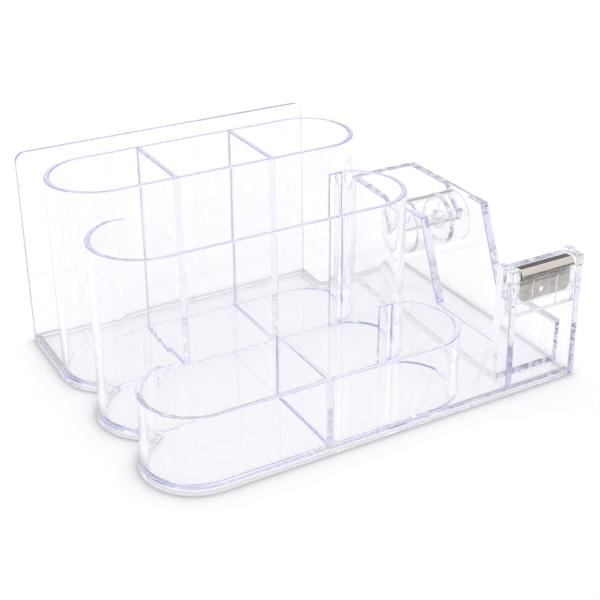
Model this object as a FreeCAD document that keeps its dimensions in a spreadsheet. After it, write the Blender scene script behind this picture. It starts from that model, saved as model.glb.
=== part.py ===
import FreeCAD, Part
import math
import os
import Sketcher
from FreeCAD import Placement, Rotation, Vector

# Clear moulded desk organizer with a tape dispenser.
#
# Frame: +X to the right (towards the dispenser), +Y to the rear (towards the
# card panel), +Z up.  The origin is under the middle of the overall box, on
# the surface that the base plate stands on.  All lengths are millimetres.
#
# Positions in the sheet are measured from the front left corner of the
# overall box, because that is how a drawing of the moulding would give them.
# Each placement then moves the piece by half the length and half the depth.

doc = FreeCAD.newDocument("desk_organizer")

DIMENSIONS = [
    # base
    ("base_length", 196.0, "overall length of the base plate, X"),
    ("base_depth", 147.6, "overall depth of the base plate, Y"),
    ("base_thickness", 3.6, "thickness of the base plate"),
    ("recess_depth", 1.6, "depth of the hollow underside"),
    ("rim_width", 2.4, "width of the rim that the base stands on"),
    ("flange", 2.05, "base edge beyond the wall centre line"),
    ("base_corner", 1.5, "corner radius of the base at the dispenser"),
    ("rear_step_y", 127.0, "rear edge of the base behind the dispenser"),
    ("slot_floor_right", 141.7, "right edge of the card slot floor"),
    ("step_fillet", 4.0, "inner radius where the base steps back"),
    # rows of cells
    ("wall", 2.4, "wall thickness of the cells"),
    ("divider", 2.4, "thickness of the dividers"),
    ("front_wall_y", 2.05, "centre line, front wall of the front tray"),
    ("front_line_y", 44.45, "centre line, wall between front and middle row"),
    ("middle_line_y", 86.8, "centre line, wall between middle and rear row"),
    ("rear_line_y", 127.9, "centre line, rear wall of the rear row"),
    ("front_left_x", 24.9, "centre of the front tray's left round end"),
    ("front_right_x", 121.8, "centre of the front tray's right round end"),
    ("middle_left_x", 24.2, "centre of the middle row's left round end"),
    ("middle_right_x", 122.1, "centre of the middle row's right round end"),
    ("rear_left_x", 22.6, "centre of the rear row's left round end"),
    ("rear_right_x", 121.6, "centre of the rear row's right round end"),
    ("front_top", 33.3, "height of the front tray's walls"),
    ("middle_top", 79.4, "height of the middle row's walls"),
    ("rear_top", 91.8, "height of the rear row's walls"),
    ("join_angle", 10.0, "arc left off where an end runs into the row behind"),
    ("tail_proud", 1.2, "step of an end wall in front of the wall behind it"),
    ("tail_reach", 7.4, "run of that step back from the end's centre"),
    ("tail_left_x", 24.8, "blunt edge of the left ends' steps"),
    ("tail_right_x", 121.2, "blunt edge of the right ends' steps"),
    ("divider_one_x", 49.4, "centre of the rear row's left divider"),
    ("divider_two_x", 93.8, "centre of the rear row's right divider"),
    ("front_divider_x", 72.4, "centre of the front tray's divider"),
    # card panel
    ("panel_width", 141.7, "width of the rear card panel"),
    ("panel_top", 92.0, "height of the rear card panel"),
    ("panel_thickness", 2.4, "thickness of the rear card panel"),
    ("panel_corner", 4.5, "radius of its two top corners"),
    # dispenser
    ("cheek_left", 158.0, "outer face of the dispenser's left panel"),
    ("cheek_thickness", 4.2, "thickness of the dispenser's side panels"),
    ("cheek_top", 57.4, "height of the side panels"),
    ("cheek_rear", 127.0, "rear face of the dispenser"),
    ("cheek_rear_wall", 4.0, "thickness of the dispenser's rear wall"),
    ("slant_top_y", 66.4, "top of the slanted front edge"),
    ("slant_foot_y", 51.0, "foot of the slanted front edge"),
    ("channel_floor", 5.5, "top of the raised floor between the rails"),
    ("rail_top", 21.5, "height of the low side rails"),
    ("cheek_corner", 1.5, "corner radius of the side panels"),
    ("slot_depth", 2.2, "depth of the axle slot in each side panel"),
    ("slot_width", 14.4, "width of the slot's mouth"),
    ("slot_lip", 4.8, "radius of the slot's rear lip"),
    ("funnel_top", 52.0, "level where the slot begins to narrow"),
    ("throat_top", 47.6, "level where the slot is as narrow as the axle"),
    ("seat_radius", 2.75, "radius of the slot's rounded bottom"),
    # tape hub
    ("axle_y", 84.0, "hub axis, from the front of the base"),
    ("axle_z", 45.6, "hub axis, above the surface it stands on"),
    ("axle_radius", 2.7, "radius of the axle"),
    ("axle_end_gap", 0.1, "gap between an axle end and its slot's floor"),
    ("axle_chamfer", 0.4, "chamfer on the axle's ends"),
    ("mark_radius", 0.5, "radius of the mark in the middle of each end"),
    ("mark_depth", 0.3, "depth of that mark"),
    ("drum_start", 163.4, "left end of the drum"),
    ("drum_length", 27.2, "length of the drum"),
    ("drum_radius", 12.5, "outer radius of the drum"),
    ("drum_wall", 1.6, "wall thickness of the drum"),
    ("web_start", 16.2, "near face of the web, from the drum's left end"),
    ("web_thickness", 2.2, "thickness of the web"),
    ("collar_start", 14.6, "left end of the collar round the axle"),
    ("collar_length", 5.4, "length of the collar"),
    ("collar_radius", 4.1, "outer radius of the collar"),
    ("bore_radius", 2.75, "bore of the collar"),
    ("drum_chamfer", 0.4, "chamfer on the drum's rims"),
    # cutter block
    ("block_depth", 11.4, "depth of the cutter block"),
    ("block_top", 58.4, "height of its side walls"),
    ("block_wall", 3.3, "thickness of its side walls"),
    ("block_rear", 3.2, "thickness of its rear wall"),
    ("block_rear_top", 56.4, "height of its rear wall"),
    ("block_corner", 2.0, "radius of the side walls' top rear corners"),
    ("groove_front", 3.5, "front of the groove in each side wall"),
    ("groove_rear", 7.0, "rear of the groove in each side wall"),
    ("groove_floor", 44.2, "floor of the groove in each side wall"),
    ("tongue_front", 1.5, "front of the side wall's tongue, at its top"),
    ("tongue_top", 52.4, "top of the tongue in front of the groove"),
    ("catch_y", 4.9, "middle of the catch, from the front"),
    ("catch_z", 39.0, "middle of the catch"),
    ("catch_width", 2.6, "width of the catch"),
    ("catch_height", 2.8, "height of the catch"),
    ("catch_depth", 0.6, "how far the catch stands out"),
    ("catch_gap", 0.1, "gap round the catch"),
    # blade holder
    ("holder_front", 1.4, "front face of the holder's plate"),
    ("holder_rear", 6.6, "rear face of the holder"),
    ("holder_foot", 36.1, "underside of the holder"),
    ("holder_rear_top", 49.0, "top of the holder's rear plate"),
    ("tab_slot_front", 3.4, "front face of the blade slot"),
    ("tab_slot_rear", 4.2, "rear face of the blade slot"),
    ("tab_slot_floor", 41.4, "floor of the blade slot"),
    ("nose_root_z", 50.0, "where the nose leaves the slot"),
    ("nose_rear_y", 6.3, "rear top corner of the nose"),
    ("nose_rear_z", 56.55, "rear top corner of the nose"),
    ("nose_top_y", 3.08, "front top corner of the nose"),
    ("nose_top_z", 56.79, "front top corner of the nose"),
    ("nose_step_y", 0.78, "nose behind the blade's lip"),
    ("nose_step_z", 54.0, "nose under the blade's lip"),
    ("nose_front_y", 0.5, "front of the nose"),
    ("nose_foot_z", 52.4, "foot of the nose's front"),
    ("nose_under_z", 51.6, "underside of the nose"),
    ("holder_inset", 1.7, "thickness of the holder's end cheeks"),
    ("ear_rear", 8.1, "rear edge of the end cheeks"),
    ("ear_foot", 50.0, "foot of the end cheeks' rear part"),
    ("ear_top", 57.7, "top of the end cheeks"),
    ("ear_gap", 0.1, "gap between an ear and its groove"),
    ("ear_head_front", 0.9, "front of the ear over the tongue"),
    ("rib_one_x", 169.7, "left rib on the holder's plate"),
    ("rib_two_x", 182.6, "right rib on the holder's plate"),
    ("rib_width", 0.9, "width of each rib"),
    ("rib_proud", 0.5, "how far each rib stands out"),
    ("rib_foot", 36.9, "foot of the ribs"),
    ("peg_x", 175.1, "locating peg"),
    ("peg_z", 45.8, "locating peg"),
    ("peg_radius", 1.0, "radius of the peg"),
    ("peg_length", 0.7, "length of the peg"),
    # blade
    ("blade_start", 163.5, "left end of the blade"),
    ("blade_width", 27.0, "width of the blade"),
    ("blade_thickness", 0.4, "thickness of the blade"),
    ("tab_y", 3.8, "middle of the blade's tab"),
    ("tab_foot", 42.2, "lower edge of the tab"),
    ("bend_z", 50.0, "bend above the tab"),
    ("crest_rear_y", 6.75, "rear bend of the blade's top"),
    ("crest_rear_z", 56.85, "rear bend of the blade's top"),
    ("crest_front_y", 2.95, "front bend of the blade's top"),
    ("crest_front_z", 57.1, "front bend of the blade's top"),
    ("lip_y", 0.6, "lower edge of the toothed lip"),
    ("lip_z", 54.25, "lower edge of the toothed lip"),
    ("tab_corner", 3.0, "radius of the tab's lower corners"),
    ("hole_radius", 1.3, "hole for the peg"),
    ("tooth_pitch", 1.5, "distance from tooth to tooth"),
    ("tooth_height", 1.2, "height of the teeth"),
]

sheet = doc.addObject("Spreadsheet::Sheet", "Dimensions")
sheet.set("A1", "what it is")
sheet.set("B1", "mm, or degrees")
for line, (alias, value, note) in enumerate(DIMENSIONS, start=2):
    sheet.set("A%d" % line, note)
    sheet.set("B%d" % line, str(value))
    sheet.setAlias("B%d" % line, alias)
doc.recompute()

ALIASES = {alias for alias, value, note in DIMENSIONS}


def dim(alias):
    """The sheet's value of one dimension."""
    return float(sheet.get(alias))


def full(text):
    """An expression in aliases, written out for the expression engine."""
    out, word = "", ""
    for c in text + " ":
        if c.isalnum() or c == "_":
            word += c
            continue
        out += ("Dimensions." + word) if word in ALIASES else word
        out += c
        word = ""
    return out.strip()


def number(text):
    """The same expression's value from the sheet: sums and products only."""
    total, sign = 0.0, 1.0
    for term in text.replace(" ", "").replace("-", "+-").split("+"):
        if not term:
            continue
        if term[0] == "-":
            sign, term = -1.0, term[1:]
        else:
            sign = 1.0
        value = 1.0
        for k, factor in enumerate(term.split("*")):
            parts = factor.split("/")
            v = dim(parts[0]) if parts[0] in ALIASES else float(parts[0])
            for p in parts[1:]:
                v /= dim(p) if p in ALIASES else float(p)
            value *= v
        total += sign * value
    return total


def bind(obj, prop, text):
    obj.setExpression(prop, full(text))


def place(obj, x, y, z):
    """Put an object at x, y, z of the drawing; the frame's shift is added."""
    bind(obj, "Placement.Base.x", x + " - base_length/2")
    bind(obj, "Placement.Base.y", y + " - base_depth/2")
    bind(obj, "Placement.Base.z", z)


# ---------------------------------------------------------------- helpers


def box(label, x, y, z, length, width, height):
    b = doc.addObject("Part::Box", label)
    b.Label = label
    bind(b, "Length", length)
    bind(b, "Width", width)
    bind(b, "Height", height)
    place(b, x, y, z)
    return b


def origin_plane(body, role):
    for feature in body.Origin.OriginFeatures:
        if feature.Role == role:
            return feature
    raise RuntimeError("no plane " + role)


def new_body(label):
    body = doc.addObject("PartDesign::Body", label)
    body.Label = label
    return body


def new_sketch(body, name, role, offset=None):
    sketch = body.newObject("Sketcher::SketchObject", name)
    sketch.AttachmentSupport = (origin_plane(body, role), [""])
    sketch.MapMode = "FlatFace"
    if offset is not None:
        sketch.AttachmentOffset = Placement(Vector(0, 0, number(offset)), Rotation())
        bind(sketch, "AttachmentOffset.Base.z", offset)
    return sketch


def pin_point(sketch, geometry, point, u, v):
    """Hold one sketch point at (u, v), each an expression or None."""
    for kind, text, axis in (("DistanceX", u, -2), ("DistanceY", v, -1)):
        if text is None:
            continue
        value = number(text)
        if text.strip() == "0":
            sketch.addConstraint(
                Sketcher.Constraint("PointOnObject", geometry, point, axis)
            )
            continue
        k = sketch.addConstraint(
            Sketcher.Constraint(kind, -1, 1, geometry, point, value)
        )
        bind(sketch, "Constraints[%d]" % k, text)


def polygon(sketch, corners):
    """A closed outline of straight lines through the corners (u, v)."""
    points = [Vector(number(u), number(v), 0) for u, v in corners]
    n = len(points)
    first = sketch.GeometryCount
    for k in range(n):
        sketch.addGeometry(Part.LineSegment(points[k], points[(k + 1) % n]), False)
    for k in range(n):
        sketch.addConstraint(
            Sketcher.Constraint("Coincident", first + k, 2, first + (k + 1) % n, 1)
        )
    for k, (u, v) in enumerate(corners):
        pin_point(sketch, first + k, 1, u, v)


def circle(sketch, u, v, radius):
    k = sketch.addGeometry(
        Part.Circle(Vector(number(u), number(v), 0), Vector(0, 0, 1), number(radius)),
        False,
    )
    pin_point(sketch, k, 3, u, v)
    c = sketch.addConstraint(Sketcher.Constraint("Radius", k, number(radius)))
    bind(sketch, "Constraints[%d]" % c, radius)


def pad(body, sketch, name, length, backwards=False):
    feature = body.newObject("PartDesign::Pad", name)
    feature.Profile = sketch
    feature.Length = number(length)
    bind(feature, "Length", length)
    feature.Reversed = backwards
    sketch.Visibility = False
    doc.recompute()
    return feature


def pocket(body, sketch, name, length, backwards=False):
    """A pocket, with its volume checked so that it is known to cut."""
    before = body.Shape.Volume
    feature = body.newObject("PartDesign::Pocket", name)
    feature.Profile = sketch
    feature.Length = number(length)
    bind(feature, "Length", length)
    feature.Reversed = backwards
    sketch.Visibility = False
    doc.recompute()
    if not body.Shape.Volume < before - 1e-6:
        raise RuntimeError(name + " cuts nothing")
    return feature


def edges_near(shape, direction, spots, tol=0.05):
    """Names of straight edges along a direction whose middle is at a spot.

    A spot is (x, y, z) with None for a coordinate that doesn't matter.
    """
    names = []
    for k, edge in enumerate(shape.Edges, start=1):
        if not isinstance(edge.Curve, Part.Line):
            continue
        d = edge.Curve.Direction
        if abs(abs(d.dot(direction)) - 1) > 1e-6:
            continue
        c = edge.CenterOfMass
        for spot in spots:
            if all(
                s is None or abs(s - v) < tol for s, v in zip(spot, (c.x, c.y, c.z))
            ):
                names.append("Edge%d" % k)
                break
    return names


def fillet(body, base, name, names, radius):
    if not names:
        raise RuntimeError(name + " has no edges")
    feature = body.newObject("PartDesign::Fillet", name)
    feature.Base = (base, names)
    feature.Radius = number(radius)
    bind(feature, "Radius", radius)
    doc.recompute()
    return feature


# ------------------------------------------------------------- base plate
# One plate carries every wall.  Its left edge follows the three round row
# ends with a narrow flange; its rear edge steps forward behind the dispenser.
# The underside is hollow, so the plate stands on a rim along its outline.


def base_plate():
    body = new_body("base_plate")
    sketch = new_sketch(body, "base_outline", "XY_Plane")
    rows = [
        ("rear_left_x", "rear_line_y", "middle_line_y"),
        ("middle_left_x", "middle_line_y", "front_line_y"),
        ("front_left_x", "front_line_y", "front_wall_y"),
    ]
    arcs = []
    for cx, hi, lo in rows:
        arcs.append(
            (
                dim(cx),
                (dim(hi) + dim(lo)) / 2,
                (dim(hi) - dim(lo)) / 2 + dim("flange"),
            )
        )

    def notch(a, b):
        """The left hand point where two neighbouring arcs meet."""
        dx, dy = b[0] - a[0], b[1] - a[1]
        d = math.hypot(dx, dy)
        along = (a[2] ** 2 - b[2] ** 2 + d * d) / (2 * d)
        off = math.sqrt(a[2] ** 2 - along**2)
        mx, my = a[0] + along * dx / d, a[1] + along * dy / d
        one = (mx + off * dy / d, my - off * dx / d)
        two = (mx - off * dy / d, my + off * dx / d)
        return one if one[0] < two[0] else two

    n1, n2 = notch(arcs[0], arcs[1]), notch(arcs[1], arcs[2])
    length, depth = dim("base_length"), dim("base_depth")
    step, right = dim("rear_step_y"), dim("slot_floor_right")
    ends = [
        (0.0, arcs[0][1]),
        n1,
        n2,
        (arcs[2][0], 0.0),
    ]

    def arc_through(c, start, end):
        a0 = math.atan2(start[1] - c[1], start[0] - c[0])
        a1 = math.atan2(end[1] - c[1], end[0] - c[0])
        while a1 <= a0:
            a1 += 2 * math.pi
        return Part.ArcOfCircle(
            Part.Circle(Vector(c[0], c[1], 0), Vector(0, 0, 1), c[2]), a0, a1
        )

    # counter-clockwise arcs run from the rear towards the front
    for k in range(3):
        sketch.addGeometry(arc_through(arcs[k], ends[k], ends[k + 1]), False)
    corners = [
        (arcs[2][0], 0.0),
        (length, 0.0),
        (length, step),
        (right, step),
        (right, depth),
        (0.0, depth),
        (0.0, arcs[0][1]),
    ]
    for p, q in zip(corners, corners[1:]):
        sketch.addGeometry(
            Part.LineSegment(Vector(p[0], p[1], 0), Vector(q[0], q[1], 0)), False
        )
    # geometry 0, 1, 2 are the arcs and 3 to 8 the straight edges
    C = Sketcher.Constraint
    sketch.addConstraint(C("Coincident", 0, 2, 1, 1))
    sketch.addConstraint(C("Coincident", 1, 2, 2, 1))
    sketch.addConstraint(C("Coincident", 2, 2, 3, 1))
    for k in range(3, 8):
        sketch.addConstraint(C("Coincident", k, 2, k + 1, 1))
    sketch.addConstraint(C("Coincident", 8, 2, 0, 1))
    for k, (cx, hi, lo) in enumerate(rows):
        pin_point(sketch, k, 3, cx, hi + "/2 + " + lo + "/2")
        text = hi + "/2 - " + lo + "/2 + flange"
        r = sketch.addConstraint(C("Radius", k, number(text)))
        bind(sketch, "Constraints[%d]" % r, text)
    pin_point(sketch, 3, 1, "front_left_x", None)
    pin_point(sketch, 4, 1, "base_length", "0")
    pin_point(sketch, 5, 1, "base_length", "rear_step_y")
    pin_point(sketch, 6, 1, "slot_floor_right", "rear_step_y")
    pin_point(sketch, 7, 1, "slot_floor_right", "base_depth")
    pin_point(sketch, 8, 1, "0", "base_depth")
    pin_point(sketch, 8, 2, None, "rear_line_y/2 + middle_line_y/2")
    plate = pad(body, sketch, "base_pad", "base_thickness")
    up = Vector(0, 0, 1)
    outer = edges_near(
        body.Shape,
        up,
        [(length, 0.0, None), (length, step, None), (right, depth, None)],
    )
    round_outer = fillet(body, plate, "base_corners", outer, "base_corner")
    inner = edges_near(body.Shape, up, [(right, step, None)])
    fillet(body, round_outer, "base_step", inner, "step_fillet")

    # the hollow: the same outline moved in by the rim's width; at each notch
    # between two row ends the rim turns about the notch's own point
    rim = dim("rim_width")
    hollow = new_sketch(body, "base_hollow", "XY_Plane")

    def towards(a, b, reach):
        d = math.hypot(b[0] - a[0], b[1] - a[1])
        return (a[0] + (b[0] - a[0]) / d * reach, a[1] + (b[1] - a[1]) / d * reach)

    c0, c1, c2 = arcs
    shrunk = [(c[0], c[1], c[2] - rim) for c in arcs]
    p1, p2 = towards(n1, c0, rim), towards(n1, c1, rim)
    q1, q2 = towards(n2, c1, rim), towards(n2, c2, rim)
    curves = [
        arc_through(shrunk[0], (rim, c0[1]), p1),
        arc_through((n1[0], n1[1], rim), p2, p1),
        arc_through(shrunk[1], p2, q1),
        arc_through((n2[0], n2[1], rim), q2, q1),
        arc_through(shrunk[2], q2, (c2[0], rim)),
    ]
    for curve in curves:
        hollow.addGeometry(curve, False)
    spots = [
        (c2[0], rim),
        (length - rim, rim),
        (length - rim, step - rim),
        (right - rim, step - rim),
        (right - rim, depth - rim),
        (rim, depth - rim),
        (rim, c0[1]),
    ]
    for p, q in zip(spots, spots[1:]):
        hollow.addGeometry(
            Part.LineSegment(Vector(p[0], p[1], 0), Vector(q[0], q[1], 0)), False
        )
    # curves 0, 2, 4 follow the row ends; 1 and 3 turn the other way, so they
    # meet their neighbours by their far ends; lines are 5 to 10
    hollow.addConstraint(C("Tangent", 0, 2, 1, 2))
    hollow.addConstraint(C("Tangent", 1, 1, 2, 1))
    hollow.addConstraint(C("Tangent", 2, 2, 3, 2))
    hollow.addConstraint(C("Tangent", 3, 1, 4, 1))
    hollow.addConstraint(C("Coincident", 4, 2, 5, 1))
    for k in range(5, 10):
        hollow.addConstraint(C("Coincident", k, 2, k + 1, 1))
    hollow.addConstraint(C("Coincident", 10, 2, 0, 1))
    for k, (cx, hi, lo) in zip((0, 2, 4), rows):
        pin_point(hollow, k, 3, cx, hi + "/2 + " + lo + "/2")
        text = hi + "/2 - " + lo + "/2 + flange - rim_width"
        r = hollow.addConstraint(C("Radius", k, number(text)))
        bind(hollow, "Constraints[%d]" % r, text)
    for k in (1, 3):
        r = hollow.addConstraint(C("Radius", k, rim))
        bind(hollow, "Constraints[%d]" % r, "rim_width")
    pin_point(hollow, 5, 1, "front_left_x", None)
    pin_point(hollow, 6, 1, "base_length - rim_width", "rim_width")
    pin_point(hollow, 7, 1, "base_length - rim_width", "rear_step_y - rim_width")
    pin_point(hollow, 8, 1, "slot_floor_right - rim_width", "rear_step_y - rim_width")
    pin_point(hollow, 9, 1, "slot_floor_right - rim_width", "base_depth - rim_width")
    pin_point(hollow, 10, 1, "rim_width", "base_depth - rim_width")
    pin_point(hollow, 10, 2, None, "rear_line_y/2 + middle_line_y/2")
    pocket(body, hollow, "base_hollow_cut", "recess_depth", True)
    place(body, "0", "0", "0")
    return body


# ------------------------------------------------------------ rows of cells


def round_end(label, cx, lo, hi, top, left, behind=None):
    """A half-round wall that closes one end of a row.

    behind is (cx, lo, hi) of the row behind: there the end stops on that
    row's own round end, and runs on as a low step in front of its wall.
    """
    turn = "join_angle" if behind else "0"
    mid = lo + "/2 + " + hi + "/2"
    outer = doc.addObject("Part::Cylinder", label + "_outer")
    bind(outer, "Radius", hi + "/2 - " + lo + "/2 + wall/2")
    bind(outer, "Height", top + " - base_thickness")
    bind(outer, "Angle", "180 - " + turn)
    place(outer, cx, mid, "base_thickness")
    outer.Placement.Rotation = Rotation(Vector(0, 0, 1), 0)
    start = "90 + " + turn if left else "0 - 90"
    outer.Placement = Placement(
        outer.Placement.Base, Rotation(Vector(0, 0, 1), number(start))
    )
    bind(outer, "Placement.Rotation.Angle", start)
    inner = doc.addObject("Part::Cylinder", label + "_inner")
    bind(inner, "Radius", hi + "/2 - " + lo + "/2 - wall/2")
    bind(inner, "Height", top + " + 2")
    place(inner, cx, mid, "0")
    ring = doc.addObject("Part::Cut", label + "_ring" if behind else label)
    ring.Base, ring.Tool = outer, inner
    ring.Label = label
    if behind is None:
        return ring
    bx, blo, bhi = behind
    tool = doc.addObject("Part::Cylinder", label + "_behind")
    bind(tool, "Radius", bhi + "/2 - " + blo + "/2 + wall/2")
    bind(tool, "Height", top + " + 2")
    place(tool, bx, blo + "/2 + " + bhi + "/2", "0")
    tail = box(
        label + "_tail",
        cx + " - tail_reach" if left else "tail_right_x",
        hi + " - wall/2 - tail_proud",
        "base_thickness",
        "tail_left_x + tail_reach - " + cx if left else cx + " + tail_reach - tail_right_x",
        "tail_proud",
        top + " - base_thickness",
    )
    run = doc.addObject("Part::Fuse", label + "_run")
    run.Base, run.Tool = ring, tail
    run.Label = label + "_run"
    end = doc.addObject("Part::Cut", label)
    end.Base, end.Tool = run, tool
    ring.Label = label + "_ring"
    end.Label = label
    return end


def straight_wall(label, left, right, line, top):
    return box(
        label,
        left,
        line + " - wall/2",
        "base_thickness",
        right + " - " + left,
        "wall",
        top + " - base_thickness",
    )


def cross_wall(label, x, front, rear, top):
    return box(
        label,
        x + " - divider/2",
        front + " + wall/2",
        "base_thickness",
        "divider",
        rear + " - " + front + " - wall",
        top + " - base_thickness",
    )


def rows():
    rear = ("middle_line_y", "rear_line_y")
    middle = ("front_line_y", "middle_line_y")
    front = ("front_wall_y", "front_line_y")
    return [
        straight_wall(
            "rear_row_rear_wall", "rear_left_x", "rear_right_x", "rear_line_y", "rear_top"
        ),
        straight_wall(
            "rear_row_front_wall",
            "rear_left_x",
            "rear_right_x",
            "middle_line_y",
            "rear_top",
        ),
        round_end("rear_row_left_end", "rear_left_x", rear[0], rear[1], "rear_top", True),
        round_end(
            "rear_row_right_end", "rear_right_x", rear[0], rear[1], "rear_top", False
        ),
        cross_wall(
            "rear_divider_left", "divider_one_x", rear[0], rear[1], "rear_top"
        ),
        cross_wall(
            "rear_divider_right", "divider_two_x", rear[0], rear[1], "rear_top"
        ),
        straight_wall(
            "middle_row_front_wall",
            "middle_left_x",
            "middle_right_x",
            "front_line_y",
            "middle_top",
        ),
        round_end(
            "middle_row_left_end",
            "middle_left_x",
            middle[0],
            middle[1],
            "middle_top",
            True,
            ("rear_left_x",) + rear,
        ),
        round_end(
            "middle_row_right_end",
            "middle_right_x",
            middle[0],
            middle[1],
            "middle_top",
            False,
            ("rear_right_x",) + rear,
        ),
        straight_wall(
            "front_tray_front_wall",
            "front_left_x",
            "front_right_x",
            "front_wall_y",
            "front_top",
        ),
        round_end(
            "front_tray_left_end",
            "front_left_x",
            front[0],
            front[1],
            "front_top",
            True,
            ("middle_left_x",) + middle,
        ),
        round_end(
            "front_tray_right_end",
            "front_right_x",
            front[0],
            front[1],
            "front_top",
            False,
            ("middle_right_x",) + middle,
        ),
        cross_wall(
            "front_divider", "front_divider_x", front[0], front[1], "front_top"
        ),
    ]


# --------------------------------------------------------------- card panel
# The panel stands on the rear edge of the base; cards, notes or a phone go
# between it and the rear row.


def card_panel():
    body = new_body("back_panel")
    sketch = new_sketch(body, "panel_outline", "XZ_Plane")
    polygon(
        sketch,
        [
            ("0", "base_thickness"),
            ("panel_width", "base_thickness"),
            ("panel_width", "panel_top"),
            ("0", "panel_top"),
        ],
    )
    sheet_pad = pad(body, sketch, "panel_pad", "panel_thickness")
    names = edges_near(
        body.Shape,
        Vector(0, 1, 0),
        [(0.0, None, dim("panel_top")), (dim("panel_width"), None, dim("panel_top"))],
    )
    fillet(body, sheet_pad, "panel_corners", names, "panel_corner")
    place(body, "0", "base_depth", "0")
    return body


# ---------------------------------------------------------------- dispenser
# Two thick side panels with a slanted front edge, joined by a rear wall.  A
# blind slot in each inner face is open at the top and narrows to a rounded
# seat, so the hub's axle drops in from above and turns in the seats.


def side_panel(label, left):
    body = new_body(label)
    sketch = new_sketch(body, label + "_outline", "YZ_Plane")
    polygon(
        sketch,
        [
            ("slant_foot_y", "base_thickness"),
            ("cheek_rear", "base_thickness"),
            ("cheek_rear", "cheek_top"),
            ("slant_top_y", "cheek_top"),
            ("slant_foot_y", "rail_top"),
        ],
    )
    plate = pad(body, sketch, label + "_pad", "cheek_thickness")
    names = edges_near(
        body.Shape,
        Vector(1, 0, 0),
        [
            (None, dim("cheek_rear"), dim("cheek_top")),
            (None, dim("slant_top_y"), dim("cheek_top")),
        ],
    )
    fillet(body, plate, label + "_corners", names, "cheek_corner")
    # the slot: mouth, straight sides, funnel, throat, round seat, rear lip
    offset = "cheek_thickness - slot_depth" if left else "slot_depth"
    slot = new_sketch(body, label + "_slot", "YZ_Plane", offset)
    half, seat, lip = dim("slot_width") / 2, dim("seat_radius"), dim("slot_lip")
    yc, zc, top = dim("axle_y"), dim("axle_z"), dim("cheek_top")
    pts = [
        (yc - half, top + 1),
        (yc - half, dim("funnel_top")),
        (yc - seat, dim("throat_top")),
        (yc - seat, zc),
        (yc + seat, zc),
        (yc + seat, dim("throat_top")),
        (yc + half, dim("funnel_top")),
        (yc + half, top - lip),
        (yc + half + lip, top),
        (yc + half + lip, top + 1),
    ]
    V = [Vector(y, z, 0) for y, z in pts]

    def line(a, b):
        return slot.addGeometry(Part.LineSegment(V[a], V[b]), False)

    g = [line(0, 1), line(1, 2), line(2, 3)]
    g.append(
        slot.addGeometry(
            Part.ArcOfCircle(
                Part.Circle(Vector(yc, zc, 0), Vector(0, 0, 1), seat),
                math.pi,
                2 * math.pi,
            ),
            False,
        )
    )
    g += [line(4, 5), line(5, 6), line(6, 7)]
    g.append(
        slot.addGeometry(
            Part.ArcOfCircle(
                Part.Circle(
                    Vector(yc + half + lip, top - lip, 0), Vector(0, 0, 1), lip
                ),
                math.pi / 2,
                math.pi,
            ),
            False,
        )
    )
    g += [line(8, 9), line(9, 0)]
    C = Sketcher.Constraint
    # each entry: (geometry, end point) joined to (geometry, start point); the
    # lip's arc runs from its top to its side, so it is entered by its end
    joints = [
        (g[0], 2, g[1], 1),
        (g[1], 2, g[2], 1),
        (g[2], 2, g[3], 1),
        (g[3], 2, g[4], 1),
        (g[4], 2, g[5], 1),
        (g[5], 2, g[6], 1),
        (g[6], 2, g[7], 2),
        (g[7], 1, g[8], 1),
        (g[8], 2, g[9], 1),
        (g[9], 2, g[0], 1),
    ]
    for a, pa, b, pb in joints:
        slot.addConstraint(C("Coincident", a, pa, b, pb))
    pin_point(slot, g[0], 1, "axle_y - slot_width/2", "cheek_top + 1")
    pin_point(slot, g[1], 1, "axle_y - slot_width/2", "funnel_top")
    pin_point(slot, g[2], 1, "axle_y - seat_radius", "throat_top")
    pin_point(slot, g[3], 1, "axle_y - seat_radius", "axle_z")
    pin_point(slot, g[3], 3, "axle_y", "axle_z")
    pin_point(slot, g[3], 2, None, "axle_z")
    pin_point(slot, g[5], 1, "axle_y + seat_radius", "throat_top")
    pin_point(slot, g[6], 1, "axle_y + slot_width/2", "funnel_top")
    pin_point(slot, g[6], 2, "axle_y + slot_width/2", "cheek_top - slot_lip")
    pin_point(
        slot, g[7], 3, "axle_y + slot_width/2 + slot_lip", "cheek_top - slot_lip"
    )
    pin_point(slot, g[8], 1, "axle_y + slot_width/2 + slot_lip", None)
    pin_point(slot, g[9], 1, "axle_y + slot_width/2 + slot_lip", "cheek_top + 1")
    # the pocket runs towards the inner face, +X on the left panel
    pocket(body, slot, label + "_slot_cut", "slot_depth", left)
    if left:
        place(body, "cheek_left", "0", "0")
    else:
        place(body, "base_length - cheek_thickness", "0", "0")
    return body


def dispenser():
    inner_left = "cheek_left + cheek_thickness"
    inner_length = "base_length - cheek_left - 2*cheek_thickness"
    return [
        side_panel("dispenser_left_panel", True),
        side_panel("dispenser_right_panel", False),
        box(
            "dispenser_rear_wall",
            inner_left,
            "cheek_rear - cheek_rear_wall",
            "base_thickness",
            inner_length,
            "cheek_rear_wall",
            "cheek_top - base_thickness",
        ),
        box(
            "dispenser_floor",
            inner_left,
            "block_depth",
            "base_thickness",
            inner_length,
            "cheek_rear - cheek_rear_wall - block_depth",
            "channel_floor - base_thickness",
        ),
        box(
            "dispenser_left_rail",
            "cheek_left",
            "block_depth",
            "base_thickness",
            "cheek_thickness",
            "slant_foot_y - block_depth",
            "rail_top - base_thickness",
        ),
        box(
            "dispenser_right_rail",
            "base_length - cheek_thickness",
            "block_depth",
            "base_thickness",
            "cheek_thickness",
            "slant_foot_y - block_depth",
            "rail_top - base_thickness",
        ),
    ]


# ------------------------------------------------------------ cutter block


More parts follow.
